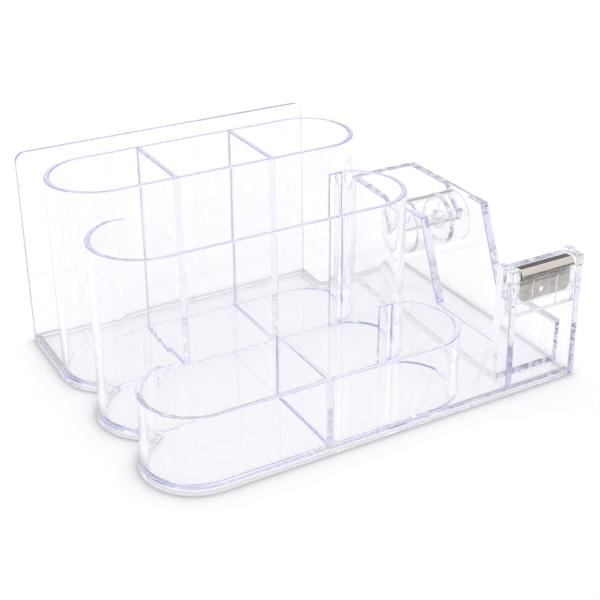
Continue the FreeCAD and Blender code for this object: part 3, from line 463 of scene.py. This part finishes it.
def clear_plastic(name, absorb, density, tint=(0.998, 0.998, 1.0), wave=0.000014, seed=0.0):
    """Clear moulded styrene: faint flow waves in the faces, hairline wipe
    marks that soften the gloss here and there, and a cool cast that only
    shows where light runs a long way inside the plastic."""
    mat = bpy.data.materials.new(name)
    mat.use_nodes = True
    t = mat.node_tree
    t.nodes.clear()
    link = t.links.new
    place = node(t, "ShaderNodeTexCoord", -1500, 0)
    flow = node(t, "ShaderNodeTexNoise", -1100, -260, Scale=38.0, Detail=2.0, Roughness=0.4)
    flow.noise_dimensions = "4D"
    flow.inputs["W"].default_value = seed
    fine = node(t, "ShaderNodeTexNoise", -1100, -520, Scale=420.0, Detail=2.0, Roughness=0.5)
    stretch = node(t, "ShaderNodeMapping", -1300, 140)
    stretch.inputs["Scale"].default_value = (900.0, 120.0, 160.0)
    stretch.inputs["Rotation"].default_value = (0.3, 0.5, 0.7)
    wipe = node(t, "ShaderNodeTexNoise", -1100, 140, Scale=1.0, Detail=4.0, Roughness=0.62)
    marks = node(t, "ShaderNodeMapRange", -880, 140)
    marks.inputs["From Min"].default_value = 0.46
    marks.inputs["From Max"].default_value = 0.78
    marks.inputs["To Min"].default_value = 0.012
    marks.inputs["To Max"].default_value = 0.07
    bump = node(t, "ShaderNodeBump", -620, -260, Strength=0.55)
    bump.inputs["Distance"].default_value = wave
    bump2 = node(t, "ShaderNodeBump", -420, -420, Strength=0.25)
    bump2.inputs["Distance"].default_value = 0.0000012
    link(place.outputs["Object"], flow.inputs["Vector"])
    link(place.outputs["Object"], fine.inputs["Vector"])
    link(place.outputs["Object"], stretch.inputs["Vector"])
    link(stretch.outputs["Vector"], wipe.inputs["Vector"])
    link(wipe.outputs["Fac"], marks.inputs["Value"])
    link(flow.outputs["Fac"], bump.inputs["Height"])
    link(fine.outputs["Fac"], bump2.inputs["Height"])
    link(bump.outputs["Normal"], bump2.inputs["Normal"])
    p = node(t, "ShaderNodeBsdfPrincipled", -180, 160)
    p.inputs["Base Color"].default_value = (*tint, 1.0)
    p.inputs["Transmission Weight"].default_value = 1.0
    p.inputs["IOR"].default_value = 1.59
    link(marks.outputs["Result"], p.inputs["Roughness"])
    link(bump2.outputs["Normal"], p.inputs["Normal"])
    path = node(t, "ShaderNodeLightPath", -180, 620)
    lamp = node(t, "ShaderNodeBsdfTransparent", 60, -120)
    # lamps reach the table through the faces, and lose light at the plate's
    # narrow outer edge, where the plastic turns it aside
    part = node(t, "ShaderNodeSeparateXYZ", -900, -760)
    low = node(t, "ShaderNodeMapRange", -700, -720)
    low.inputs["From Min"].default_value = 0.0036
    low.inputs["From Max"].default_value = 0.0042
    low.inputs["To Min"].default_value = 1.0
    low.inputs["To Max"].default_value = 0.0
    facing = node(t, "ShaderNodeSeparateXYZ", -900, -960)
    flat = node(t, "ShaderNodeMath", -700, -960, operation="ABSOLUTE")
    upright = node(t, "ShaderNodeMath", -520, -960, operation="LESS_THAN")
    upright.inputs[1].default_value = 0.5
    both = node(t, "ShaderNodeMath", -340, -820, operation="MULTIPLY")
    veil = node(t, "ShaderNodeMix", -160, -700, data_type="RGBA")
    veil.inputs["A"].default_value = (0.984, 0.984, 0.988, 1.0)
    veil.inputs["B"].default_value = (0.03, 0.03, 0.04, 1.0)
    link(place.outputs["Object"], part.inputs[0])
    link(part.outputs["Z"], low.inputs["Value"])
    link(place.outputs["Normal"], facing.inputs[0])
    link(facing.outputs["Z"], flat.inputs[0])
    link(flat.outputs[0], upright.inputs[0])
    link(low.outputs["Result"], both.inputs[0])
    link(upright.outputs[0], both.inputs[1])
    link(both.outputs[0], veil.inputs["Factor"])
    link(veil.outputs["Result"], lamp.inputs["Color"])
    one = node(t, "ShaderNodeMixShader", 240, 160)
    two = node(t, "ShaderNodeMixShader", 440, 160)
    link(path.outputs["Is Diffuse Ray"], one.inputs[0])
    link(p.outputs[0], one.inputs[1])
    link(lamp.outputs[0], one.inputs[2])
    link(path.outputs["Is Shadow Ray"], two.inputs[0])
    link(one.outputs[0], two.inputs[1])
    link(lamp.outputs[0], two.inputs[2])
    soak = node(t, "ShaderNodeVolumeAbsorption", 440, -80)
    soak.inputs["Color"].default_value = (*absorb, 1.0)
    soak.inputs["Density"].default_value = density
    out = node(t, "ShaderNodeOutputMaterial", 660, 160)
    link(two.outputs[0], out.inputs["Surface"])
    link(soak.outputs[0], out.inputs["Volume"])
    return mat


def brushed_steel(name):
    """Thin spring steel, rolled along the blade's length."""
    mat = bpy.data.materials.new(name)
    mat.use_nodes = True
    t = mat.node_tree
    t.nodes.clear()
    link = t.links.new
    place = node(t, "ShaderNodeTexCoord", -1300, 0)
    stretch = node(t, "ShaderNodeMapping", -1100, 0)
    stretch.inputs["Scale"].default_value = (60.0, 5200.0, 5200.0)
    grain = node(t, "ShaderNodeTexNoise", -900, 0, Scale=1.0, Detail=5.0, Roughness=0.6)
    cloud = node(t, "ShaderNodeTexNoise", -900, -280, Scale=240.0, Detail=3.0, Roughness=0.5)
    rough = node(t, "ShaderNodeMapRange", -640, 0)
    rough.inputs["To Min"].default_value = 0.18
    rough.inputs["To Max"].default_value = 0.34
    tone = node(t, "ShaderNodeValToRGB", -640, 280)
    tone.color_ramp.elements[0].position = 0.3
    tone.color_ramp.elements[0].color = (0.40, 0.375, 0.355, 1)
    tone.color_ramp.elements[1].position = 0.75
    tone.color_ramp.elements[1].color = (0.56, 0.525, 0.495, 1)
    # painted shade: the level crest gets a painted dark reflection and the teeth a painted shadow, both darker
    # than the flat strip
    where = node(t, "ShaderNodeSeparateXYZ", -900, 760)
    facing = node(t, "ShaderNodeSeparateXYZ", -900, 560)
    crest = node(t, "ShaderNodeMapRange", -700, 560)
    crest.inputs["From Min"].default_value = 0.90
    crest.inputs["From Max"].default_value = 0.97
    low = node(t, "ShaderNodeMapRange", -700, 760)
    low.inputs["From Min"].default_value = 0.0546
    low.inputs["From Max"].default_value = 0.0551
    low.inputs["To Min"].default_value = 1.0
    low.inputs["To Max"].default_value = 0.0
    front = node(t, "ShaderNodeMath", -700, 940, operation="LESS_THAN")
    front.inputs[1].default_value = -0.0716
    teeth = node(t, "ShaderNodeMath", -520, 800, operation="MULTIPLY")
    painted_shade_fac = node(t, "ShaderNodeMath", -440, 620, operation="MAXIMUM")
    # painted shade: the tone is multiplied down wherever the crest or teeth mask is set
    shade = node(t, "ShaderNodeMix", -300, 400, data_type="RGBA", blend_type="MULTIPLY")
    shade.inputs["B"].default_value = (0.36, 0.33, 0.31, 1)
    link(place.outputs["Object"], where.inputs[0])
    link(place.outputs["Normal"], facing.inputs[0])
    link(facing.outputs["Z"], crest.inputs["Value"])
    link(where.outputs["Z"], low.inputs["Value"])
    link(where.outputs["Y"], front.inputs[0])
    link(low.outputs["Result"], teeth.inputs[0])
    link(front.outputs[0], teeth.inputs[1])
    link(teeth.outputs[0], painted_shade_fac.inputs[0])
    link(crest.outputs["Result"], painted_shade_fac.inputs[1])
    link(painted_shade_fac.outputs[0], shade.inputs["Factor"])
    link(tone.outputs["Color"], shade.inputs["A"])
    bump = node(t, "ShaderNodeBump", -420, -200, Strength=0.35)
    bump.inputs["Distance"].default_value = 0.000008
    link(place.outputs["Object"], stretch.inputs["Vector"])
    link(place.outputs["Object"], cloud.inputs["Vector"])
    link(stretch.outputs["Vector"], grain.inputs["Vector"])
    link(grain.outputs["Fac"], rough.inputs["Value"])
    link(cloud.outputs["Fac"], tone.inputs["Fac"])
    link(grain.outputs["Fac"], bump.inputs["Height"])
    p = node(t, "ShaderNodeBsdfPrincipled", -140, 100)
    p.inputs["Metallic"].default_value = 1.0
    # painted highlight: the slope between crest and teeth gets a brighter base colour standing in for the light it
    # reflects
    ahead = node(t, "ShaderNodeMath", -700, 1120, operation="LESS_THAN")
    ahead.inputs[1].default_value = -0.0706
    above = node(t, "ShaderNodeMath", -700, 1260, operation="GREATER_THAN")
    above.inputs[1].default_value = 0.0551
    level = node(t, "ShaderNodeMath", -520, 1120, operation="MULTIPLY")
    slope = node(t, "ShaderNodeMath", -520, 1260, operation="SUBTRACT")
    slope.inputs[0].default_value = 1.0
    lip = node(t, "ShaderNodeMath", -360, 1180, operation="MULTIPLY")
    # painted highlight: a lighter tone mixed in on the lip's upper slope
    painted_highlight = node(t, "ShaderNodeMix", -300, 900, data_type="RGBA")
    painted_highlight.inputs["B"].default_value = (0.71, 0.645, 0.60, 1)
    link(where.outputs["Y"], ahead.inputs[0])
    link(where.outputs["Z"], above.inputs[0])
    link(ahead.outputs[0], level.inputs[0])
    link(above.outputs[0], level.inputs[1])
    link(crest.outputs["Result"], slope.inputs[1])
    link(level.outputs[0], lip.inputs[0])
    link(slope.outputs[0], lip.inputs[1])
    link(lip.outputs[0], painted_highlight.inputs["Factor"])
    link(shade.outputs["Result"], painted_highlight.inputs["A"])
    link(painted_highlight.outputs["Result"], p.inputs["Base Color"])
    link(rough.outputs["Result"], p.inputs["Roughness"])
    link(bump.outputs["Normal"], p.inputs["Normal"])
    out = node(t, "ShaderNodeOutputMaterial", 140, 100)
    link(p.outputs[0], out.inputs["Surface"])
    return mat


def dress(ob, mat, body, nodes):
    ob.data.materials.clear()
    ob.data.materials.append(mat)
    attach(ob, body)
    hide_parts(*nodes)
    return ob


# ------------------------------------------------------ the moulded body


def base():
    n1 = notch((22.6, 107.35, 22.6), (24.2, 65.625, 23.225))
    n2 = notch((24.2, 65.625, 23.225), (24.9, 23.25, 23.25))
    out = []
    for c, start, end in (
        ((22.6, 107.35, 22.6), (0.0, 107.35), n1),
        ((24.2, 65.625, 23.225), n1, n2),
        ((24.9, 23.25, 23.25), n2, (24.9, 0.0)),
    ):
        a0 = math.degrees(math.atan2(start[1] - c[1], start[0] - c[0])) % 360
        a1 = math.degrees(math.atan2(end[1] - c[1], end[0] - c[0])) % 360
        out += arc(c[0], c[1], c[2], a0, a1, 2.5)
    out += rounded_run(
        [(196.0, 0.0, 1.2), (196.0, 127.0, 1.2), (141.7, 127.0, 4.0), (141.7, 147.6, 1.2), (0.0, 147.6, 0.6)],
        out[-1],
        out[0],
    )
    plate = prism("base", "z", out, 0.0, 3.6, 0.3, 0.15)
    return cut(plate, prism("recess", "z", recess(n1, n2), -1.0, 1.6, 0.0, 0.25))


def recess(n1, n2, rim=2.4):
    """The hollow underside: the plate's outline, moved in by the rim."""
    out = []
    circles = ((22.6, 107.35, 22.6), (24.2, 65.625, 23.225), (24.9, 23.25, 23.25))
    starts = ((0.0, 107.35), n1, n2)
    ends = (n1, n2, (24.9, 0.0))
    for c, start, end in zip(circles, starts, ends):
        a0 = math.degrees(math.atan2(start[1] - c[1], start[0] - c[0])) % 360
        a1 = math.degrees(math.atan2(end[1] - c[1], end[0] - c[0])) % 360
        out += arc(c[0], c[1], c[2] - rim, a0, a1, 4.0)
        if end in (n1, n2):
            follow = circles[1] if end is n1 else circles[2]
            b0 = a1 - 180.0
            b1 = math.degrees(math.atan2(follow[1] - end[1], follow[0] - end[0]))
            while b1 > b0:
                b1 -= 360.0
            while b1 < b0 - 360.0:
                b1 += 360.0
            out += arc(end[0], end[1], rim, b0, b1, 12.0)[1:-1]
    lo, r = rim, 0.6
    return out + rounded_run(
        [
            (196.0 - rim, lo, r),
            (196.0 - rim, 127.0 - rim, r),
            (141.7 - rim, 127.0 - rim, 4.0 + rim),
            (141.7 - rim, 147.6 - rim, r),
            (rim, 147.6 - rim, r),
        ],
        out[-1],
        out[0],
    )


def notch(a, b):
    dx, dy = b[0] - a[0], b[1] - a[1]
    d = math.hypot(dx, dy)
    along = (a[2] ** 2 - b[2] ** 2 + d * d) / (2 * d)
    off = math.sqrt(a[2] ** 2 - along ** 2)
    mx, my = a[0] + along * dx / d, a[1] + along * dy / d
    one = (mx + off * dy / d, my - off * dx / d)
    two = (mx - off * dy / d, my + off * dx / d)
    return one if one[0] < two[0] else two


def rounded_run(corners, before, after):
    """Rounded corners of an open run between two given points."""
    loop = [(before[0], before[1], 0.0)] + corners + [(after[0], after[1], 0.0)]
    pts = rounded(loop)
    return [p for p in pts if math.dist(p, before) > 1e-3 and math.dist(p, after) > 1e-3]


def organizer():
    body = base()
    rear = arc_path(22.6, 107.35, 20.55, 90.0, 270.0) + arc_path(121.6, 107.35, 20.55, -90.0, 90.0)
    parts = [
        sweep("rear", rear, wall_section(91.8), closed=True),
        sweep("middle", u_path(24.2, 122.1, 65.625, 21.175), wall_section(79.4, 0.015)),
        sweep("front", u_path(24.9, 121.8, 23.25, 21.2, tail_l=25.4), wall_section(33.3, 0.03)),
    ]
    for x, y0, y1, top in (
        (49.4, 86.8, 127.9, 91.74),
        (93.8, 86.8, 127.9, 91.74),
        (72.4, 2.05, 44.45, 33.24),
    ):
        # both ends widen in a small fillet where they meet the walls
        root = [(0.55, 1.55), (1.18, 1.55), (1.28, 1.27), (1.43, 1.13), (1.63, 1.04), (1.88, 1.0)]
        path = [(x, y0 + t, 1.0, 0.0, k) for t, k in root]
        path += [(x, y1 - t, 1.0, 0.0, k) for t, k in reversed(root)]
        parts.append(sweep("divider", path, wall_section(top, rim=0.5, flare=0.7)))
    # card panel
    card = rounded([(0.0, 1.5, 0), (141.7, 1.5, 0), (141.7, 92.0, 4.5), (0.0, 92.0, 4.5)], 6.0)
    parts.append(prism("card", "y", card, 145.2, 147.6, 0.5, 0.5))
    # side panels with their rails
    lip = arc(96.0, 52.6, 4.8, 90.0, 180.0, 7.5)[1:]
    seat = arc(84.0, 45.6, 2.75, 0.0, -180.0, 10.0)
    slot = lip + [(91.2, 52.0)] + [(86.75, 47.6)] + seat + [(81.25, 47.6), (76.8, 52.0)]
    b, a = (96.0, 57.4), (76.8, 57.4)
    outline = rounded(
        [
            (9.6, 1.5, 0),
            (127.0, 1.5, 0),
            (127.0, 57.4, 1.5),
            (b[0], b[1], 0),
            (a[0], a[1], 0),
            (66.4, 57.4, 1.5),
            (51.0, 21.5, 1.2),
            (9.6, 21.5, 0),
        ]
    )
    parts.append(slotted("panel_l", outline, a, b, slot, 158.0, 160.0, 162.2))
    parts.append(slotted("panel_r", outline, a, b, slot, 196.0, 194.0, 191.8))
    # rear wall of the dispenser
    wall = [(160.5, 1.5), (193.5, 1.5), (193.5, 57.3), (160.5, 57.3)]
    parts.append(prism("rear_wall", "y", wall, 123.0, 127.0, 0.35, 0.35))
    # raised floor between the rails
    channel = [(160.6, 10.2), (193.4, 10.2), (193.4, 124.4), (160.6, 124.4)]
    parts.append(prism("channel", "z", channel, 2.4, 5.5, 0.0, 0.0))
    # cutter block
    side = rounded(
        [
            (0.0, 1.5, 0),
            (11.4, 1.5, 0),
            (11.4, 58.4, 2.0),
            (7.0, 58.4, 0.5),
            (7.0, 44.2, 0.4),
            (3.5, 44.2, 0.4),
            (3.5, 52.4, 0.5),
            (1.5, 52.4, 0.6),
            (0.0, 3.6, 0),
        ]
    )
    parts.append(prism("block_l", "x", side, 158.0, 161.3))
    parts.append(prism("block_r", "x", side, 192.7, 196.0))
    back = [(159.6, 1.5), (194.4, 1.5), (194.4, 56.4), (159.6, 56.4)]
    parts.append(prism("block_rear", "y", back, 8.2, 11.4, 0.35, 0.35))
    # gate mark on the floor of the middle row
    gate = arc(99.3, 74.8, 2.6, 0.0, 348.75, 11.25)
    parts.append(prism("gate", "z", gate, 2.5, 3.85, 0.0, 0.2))
    join(body, *parts)
    for x0, x1 in ((160.6, 162.0), (192.0, 193.4)):
        window = [(3.5, 37.5), (6.3, 37.5), (6.3, 40.5), (3.5, 40.5)]
        cut(body, prism("window", "x", window, x0, x1, 0.0, 0.0))
    dimple = arc(99.3, 74.8, 0.9, 0.0, 337.5, 22.5)
    cut(body, prism("dimple", "z", dimple, 3.5, 4.5, 0.0, 0.0))
    return settle(body, "organizer_body")


# ----------------------------------------------------------- tape hub


def corner_x(x, r, dx, dr, size, n=4):
    """Rounded corner of a lathe profile at (x, r); the profile comes along
    dx or dr first, as (step of x, step of r) unit directions in and out."""
    (ix, ir), (ox, orr) = dx, dr
    cx, cr = x - ix * size + ox * size, r - ir * size + orr * size
    out = []
    for k in range(n + 1):
        w = math.pi / 2 * k / n
        out.append(
            (
                cx - ox * size * math.cos(w) + ix * size * math.sin(w),
                cr - orr * size * math.cos(w) + ir * size * math.sin(w),
            )
        )
    return out


def drum():
    L, R = (-1, 0), (1, 0)
    U, D = (0, 1), (0, -1)
    p = []
    p += corner_x(163.4, 12.5, L, D, 0.5)
    p += corner_x(163.4, 10.9, D, R, 0.3)
    p += corner_x(179.6, 10.9, R, D, 0.6)
    p += corner_x(179.6, 4.1, D, L, 0.5)
    p += corner_x(178.0, 4.1, L, D, 0.3)
    p += corner_x(178.0, 2.78, D, R, 0.2)
    p += corner_x(183.4, 2.78, R, U, 0.2)
    p += corner_x(183.4, 4.1, U, L, 0.3)
    p += corner_x(181.8, 4.1, L, U, 0.5)
    p += corner_x(181.8, 10.9, U, R, 0.6)
    p += corner_x(190.6, 10.9, R, U, 0.3)
    p += corner_x(190.6, 12.5, U, L, 0.5)
    return settle(lathe("drum", p, 84.0, 45.6), "tape_drum")


def axle():
    L, R = (-1, 0), (1, 0)
    U, D = (0, 1), (0, -1)
    p = [(160.35, 0.0), (160.35, 0.35)]
    p += [(160.1, 0.55)]
    p += corner_x(160.1, 2.68, U, R, 0.4)
    p += corner_x(193.9, 2.68, R, D, 0.4)
    p += [(193.9, 0.55)]
    p += [(193.65, 0.35), (193.65, 0.0)]
    return settle(lathe("axle", p, 84.0, 45.6, 96), "hub_axle_pin")


# ------------------------------------------------------ holder and blade


def holder():
    main = rounded(
        [
            (1.4, 36.1, 0.3),
            (6.6, 36.1, 0.3),
            (6.6, 49.0, 0.3),
            (4.2, 49.0, 0.15),
            (4.2, 41.4, 0.15),
            (3.4, 41.4, 0.15),
            (3.4, 50.0, 0.3),
            (6.3, 56.55, 0.25),
            (3.08, 56.79, 0.25),
            (0.78, 54.0, 0.0),
            (0.5, 54.0, 0.12),
            (0.5, 52.4, 0.3),
            (1.4, 51.6, 0.3),
        ],
        18.0,
    )
    ear = rounded(
        [
            (1.4, 36.1, 0.3),
            (6.6, 36.1, 0.3),
            (6.6, 50.0, 0.5),
            (8.1, 50.0, 0.3),
            (8.1, 57.7, 0.7),
            (0.5, 57.7, 0.9),
            (0.5, 52.4, 0.3),
            (1.4, 51.6, 0.3),
        ],
        15.0,
    )
    body = prism("holder", "x", main, 162.4, 191.6, 0.1, 0.1)
    parts = [
        prism("ear_l", "x", ear, 161.36, 163.0, 0.2, 0.2),
        prism("ear_r", "x", ear, 191.0, 192.64, 0.2, 0.2),
    ]
    hook = rounded(
        [
            (3.6, 44.3, 0.4),
            (6.9, 44.3, 0.4),
            (6.9, 57.7, 0.35),
            (1.2, 57.7, 0.9),
            (0.9, 52.5, 0.35),
            (3.6, 52.5, 0.0),
        ]
    )
    parts.append(prism("hook_l", "x", hook, 158.03, 161.8, 0.3, 0.0))
    parts.append(prism("hook_r", "x", hook, 192.2, 195.97, 0.0, 0.3))
    pip = [(3.6, 37.6), (6.2, 37.6), (6.2, 40.4), (3.6, 40.4)]
    parts.append(prism("catch_l", "x", pip, 160.75, 162.0, 0.15, 0.15))
    parts.append(prism("catch_r", "x", pip, 192.0, 193.25, 0.15, 0.15))
    for x in (169.7, 182.6):
        rib = rounded([(x - 0.45, 37.0, 0.2), (x + 0.45, 37.0, 0.2), (x + 0.45, 51.3, 0.2), (x - 0.45, 51.3, 0.2)])
        parts.append(prism("rib", "y", rib, 0.9, 2.0, 0.15, 0.1))
    peg = arc(175.1, 45.8, 1.0, 0.0, 345.0, 15.0)
    parts.append(prism("peg", "y", peg, 3.0, 4.05, 0.05, 0.1))
    join(body, *parts)
    return settle(body, "blade_insert")


def blade():
    """A folded steel strip: tab in the slot, flat crest and toothed lip."""
    line = rounded_open(
        [(3.8, 42.2, 0), (3.8, 50.0, 0.9), (6.75, 56.85, 0.3), (2.95, 57.1, 0.35), (0.6, 54.25, 0)]
    )
    half = 0.19
    left, right = [], []
    for k, (u, v) in enumerate(line):
        a = Vector(line[max(0, k - 1)])
        b = Vector(line[min(len(line) - 1, k + 1)])
        d = (b - a).normalized()
        left.append((u - d.y * half, v + d.x * half))
        right.append((u + d.y * half, v - d.x * half))
    strip = prism("blade", "x", left + right[::-1], 163.52, 190.48, 0.06, 0.06)
    # lower corners of the tab
    for x, sx in ((163.52, 1), (190.48, -1)):
        r = 3.0
        c = (x + sx * r, 42.2 + r)
        pts = [(x - sx * 0.5, 41.5), (x - sx * 0.5, c[1])]
        for k in range(9):
            w = math.radians(90 * k / 8)
            pts.append((c[0] - sx * r * math.cos(w), c[1] - r * math.sin(w)))
        pts.append((c[0], 41.5))
        cut(strip, prism("corner", "y", pts, 3.3, 4.4, 0.0, 0.0))
    hole = arc(175.1, 45.8, 1.3, 0.0, 345.0, 15.0)
    cut(strip, prism("hole", "y", hole, 3.3, 4.4, 0.0, 0.0))
    # the teeth: gaps cut square to the lip
    a, b = Vector((2.95, 57.1)), Vector((0.6, 54.25))
    down = (b - a).normalized()
    across = Vector((-down.y, down.x))
    x = 164.25
    gaps = []
    while x < 190.0:
        gaps.append(x)
        x += 1.5
    for x in gaps:
        verts = []
        for s in (-1.0, 1.0):
            for px, t in ((x - 0.72, 0.25), (x + 0.72, 0.25), (x, -1.15)):
                q = b + down * t + across * s * 0.9
                verts.append((px, q.x, q.y))
        faces = [[0, 1, 2], [3, 4, 5], [0, 1, 4, 3], [1, 2, 5, 4], [2, 0, 3, 5]]
        cut(strip, new_object("gap", verts, faces))
    return settle(strip, "cutter_strip", 30.0, 1e-4)


def rounded_open(corners, step=12.0):
    out = [corners[0][:2]]
    for k in range(1, len(corners) - 1):
        before, after = corners[k - 1], corners[k + 1]
        tri = rounded([before[:2] + (0.0,), corners[k], after[:2] + (0.0,)], step)
        out += [p for p in tri if math.dist(p, before[:2]) > 1e-6 and math.dist(p, after[:2]) > 1e-6]
    out.append(corners[-1][:2])
    return out


# -------------------------------------------------------------- build

body_mat = clear_plastic("clear_body", (0.42, 0.44, 0.86), 3.4)
insert_mat = clear_plastic("clear_insert", (0.30, 0.32, 0.62), 4.2, seed=4.0)
hub_mat = clear_plastic("clear_hub", (0.38, 0.39, 0.50), 15.0, seed=9.0)
steel = brushed_steel("blade_steel")

shell = dress(
    organizer(),
    body_mat,
    "organizer",
    [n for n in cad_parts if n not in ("blade_holder", "cutter_blade", "hub_axle", "tape_hub")],
)
dress(holder(), insert_mat, "organizer", ["blade_holder"])
dress(blade(), steel, "organizer", ["cutter_blade"])
dress(drum(), hub_mat, "hub", ["tape_hub"])
dress(axle(), hub_mat, "axle", ["hub_axle"])

# -------------------------------------------------------------- studio


def studio():
    me = bpy.data.meshes.new("floor")
    s = 4.0
    me.from_pydata([(-s, -s, -0.0001), (s, -s, -0.0001), (s, s, -0.0001), (-s, s, -0.0001)], [], [(0, 1, 2, 3)])
    floor = bpy.data.objects.new("floor", me)
    bpy.context.scene.collection.objects.link(floor)
    mat = bpy.data.materials.new("paper")
    mat.use_nodes = True
    p = mat.node_tree.nodes["Principled BSDF"]
    p.inputs["Base Color"].default_value = (0.94, 0.94, 0.945, 1)
    p.inputs["Roughness"].default_value = 0.9
    p.inputs["Specular IOR Level"].default_value = 0.1
    me.materials.append(mat)

    world = bpy.data.worlds.new("studio")
    bpy.context.scene.world = world
    world.use_nodes = True
    t = world.node_tree
    t.nodes.clear()
    link = t.links.new
    place = node(t, "ShaderNodeTexCoord", -900, 0)
    # the room's tones: a dimmer side behind the camera, a pale grey flag
    # behind the object for the level faces, a dark card on each side that
    # draws the upright edges, and a small one far behind that the hub's
    # top mirrors
    back = node(t, "ShaderNodeBackground", 0, 0)
    back.inputs["Color"].default_value = (1.06, 1.06, 1.06, 1)
    out = node(t, "ShaderNodeOutputWorld", 200, 0)
    level = None
    for k, (towards, near, far, tone) in enumerate(
        (
            ((-0.42, -0.86, 0.28), 0.35, 0.95, 0.45),
            ((0.445, 0.78, 0.44), 0.80, 0.93, 0.84),
            ((0.87, -0.493, 0.0), 0.82, 0.93, 0.26),
            ((-0.855, 0.489, 0.17), 0.82, 0.93, 0.26),
            ((0.60, 0.79, 0.12), 0.955, 0.985, 0.50),
        )
    ):
        dot = node(t, "ShaderNodeVectorMath", -700, -300 * k, operation="DOT_PRODUCT")
        dot.inputs[1].default_value = towards
        card = node(t, "ShaderNodeMapRange", -500, -300 * k)
        card.interpolation_type = "SMOOTHSTEP"
        card.inputs["From Min"].default_value = near
        card.inputs["From Max"].default_value = far
        card.inputs["To Min"].default_value = 1.0
        card.inputs["To Max"].default_value = tone
        link(place.outputs["Generated"], dot.inputs[0])
        link(dot.outputs["Value"], card.inputs["Value"])
        if level is None:
            level = card.outputs["Result"]
        else:
            dim = node(t, "ShaderNodeMath", -300, -300 * k, operation="MULTIPLY")
            link(level, dim.inputs[0])
            link(card.outputs["Result"], dim.inputs[1])
            level = dim.outputs[0]
    link(level, back.inputs["Strength"])
    link(back.outputs[0], out.inputs["Surface"])

    def lamp(name, loc, target, size, power, color=(1, 1, 1)):
        d = bpy.data.lights.new(name, "AREA")
        d.shape = "RECTANGLE"
        d.size, d.size_y = size
        d.energy = power
        d.color = color
        o = bpy.data.objects.new(name, d)
        bpy.context.scene.collection.objects.link(o)
        o.location = loc
        o.rotation_euler = (Vector(target) - Vector(loc)).to_track_quat("-Z", "Y").to_euler()
        return o

    lamp("top", (0.1, 0.25, 1.5), (0.0, 0.0, 0.0), (1.6, 1.2), 6.5)
    lamp("side", (1.5, -0.2, 0.9), (0.0, 0.0, 0.05), (1.0, 1.2), 2.5)


studio()

# -------------------------------------------------------------- camera

yaw, pitch, roll = -0.51893872, 0.45702815, -0.00162053
back_dir = Vector((math.sin(yaw) * math.cos(pitch), -math.cos(yaw) * math.cos(pitch), math.sin(pitch)))
forward = -back_dir
right = forward.cross(Vector((0, 0, 1))).normalized()
up = right.cross(forward)
r2 = right * math.cos(roll) + up * math.sin(roll)
u2 = -right * math.sin(roll) + up * math.cos(roll)
cam_data = bpy.data.cameras.new("camera")
cam_data.sensor_fit = "HORIZONTAL"
cam_data.sensor_width = 36.0
cam_data.lens = 1172.9972 / 600 * 36
cam_data.shift_x = 0.0
cam_data.shift_y = -0.05
cam_data.clip_start = 0.01
camera = bpy.data.objects.new("camera", cam_data)
camera.matrix_world = Matrix(
    (
        (r2.x, u2.x, back_dir.x, -0.226543),
        (r2.y, u2.y, back_dir.y, -0.399835),
        (r2.z, u2.z, back_dir.z, 0.269091),
        (0, 0, 0, 1),
    )
)
bpy.context.scene.collection.objects.link(camera)
bpy.context.scene.camera = camera

scene = bpy.context.scene
scene.view_settings.view_transform = "Standard"
scene.view_settings.look = "None"
scene.cycles.max_bounces = 256
scene.cycles.transmission_bounces = 256
scene.cycles.transparent_max_bounces = 64
scene.cycles.glossy_bounces = 256
scene.cycles.diffuse_bounces = 3
scene.cycles.use_denoising = True
scene.cycles.blur_glossy = 0.2
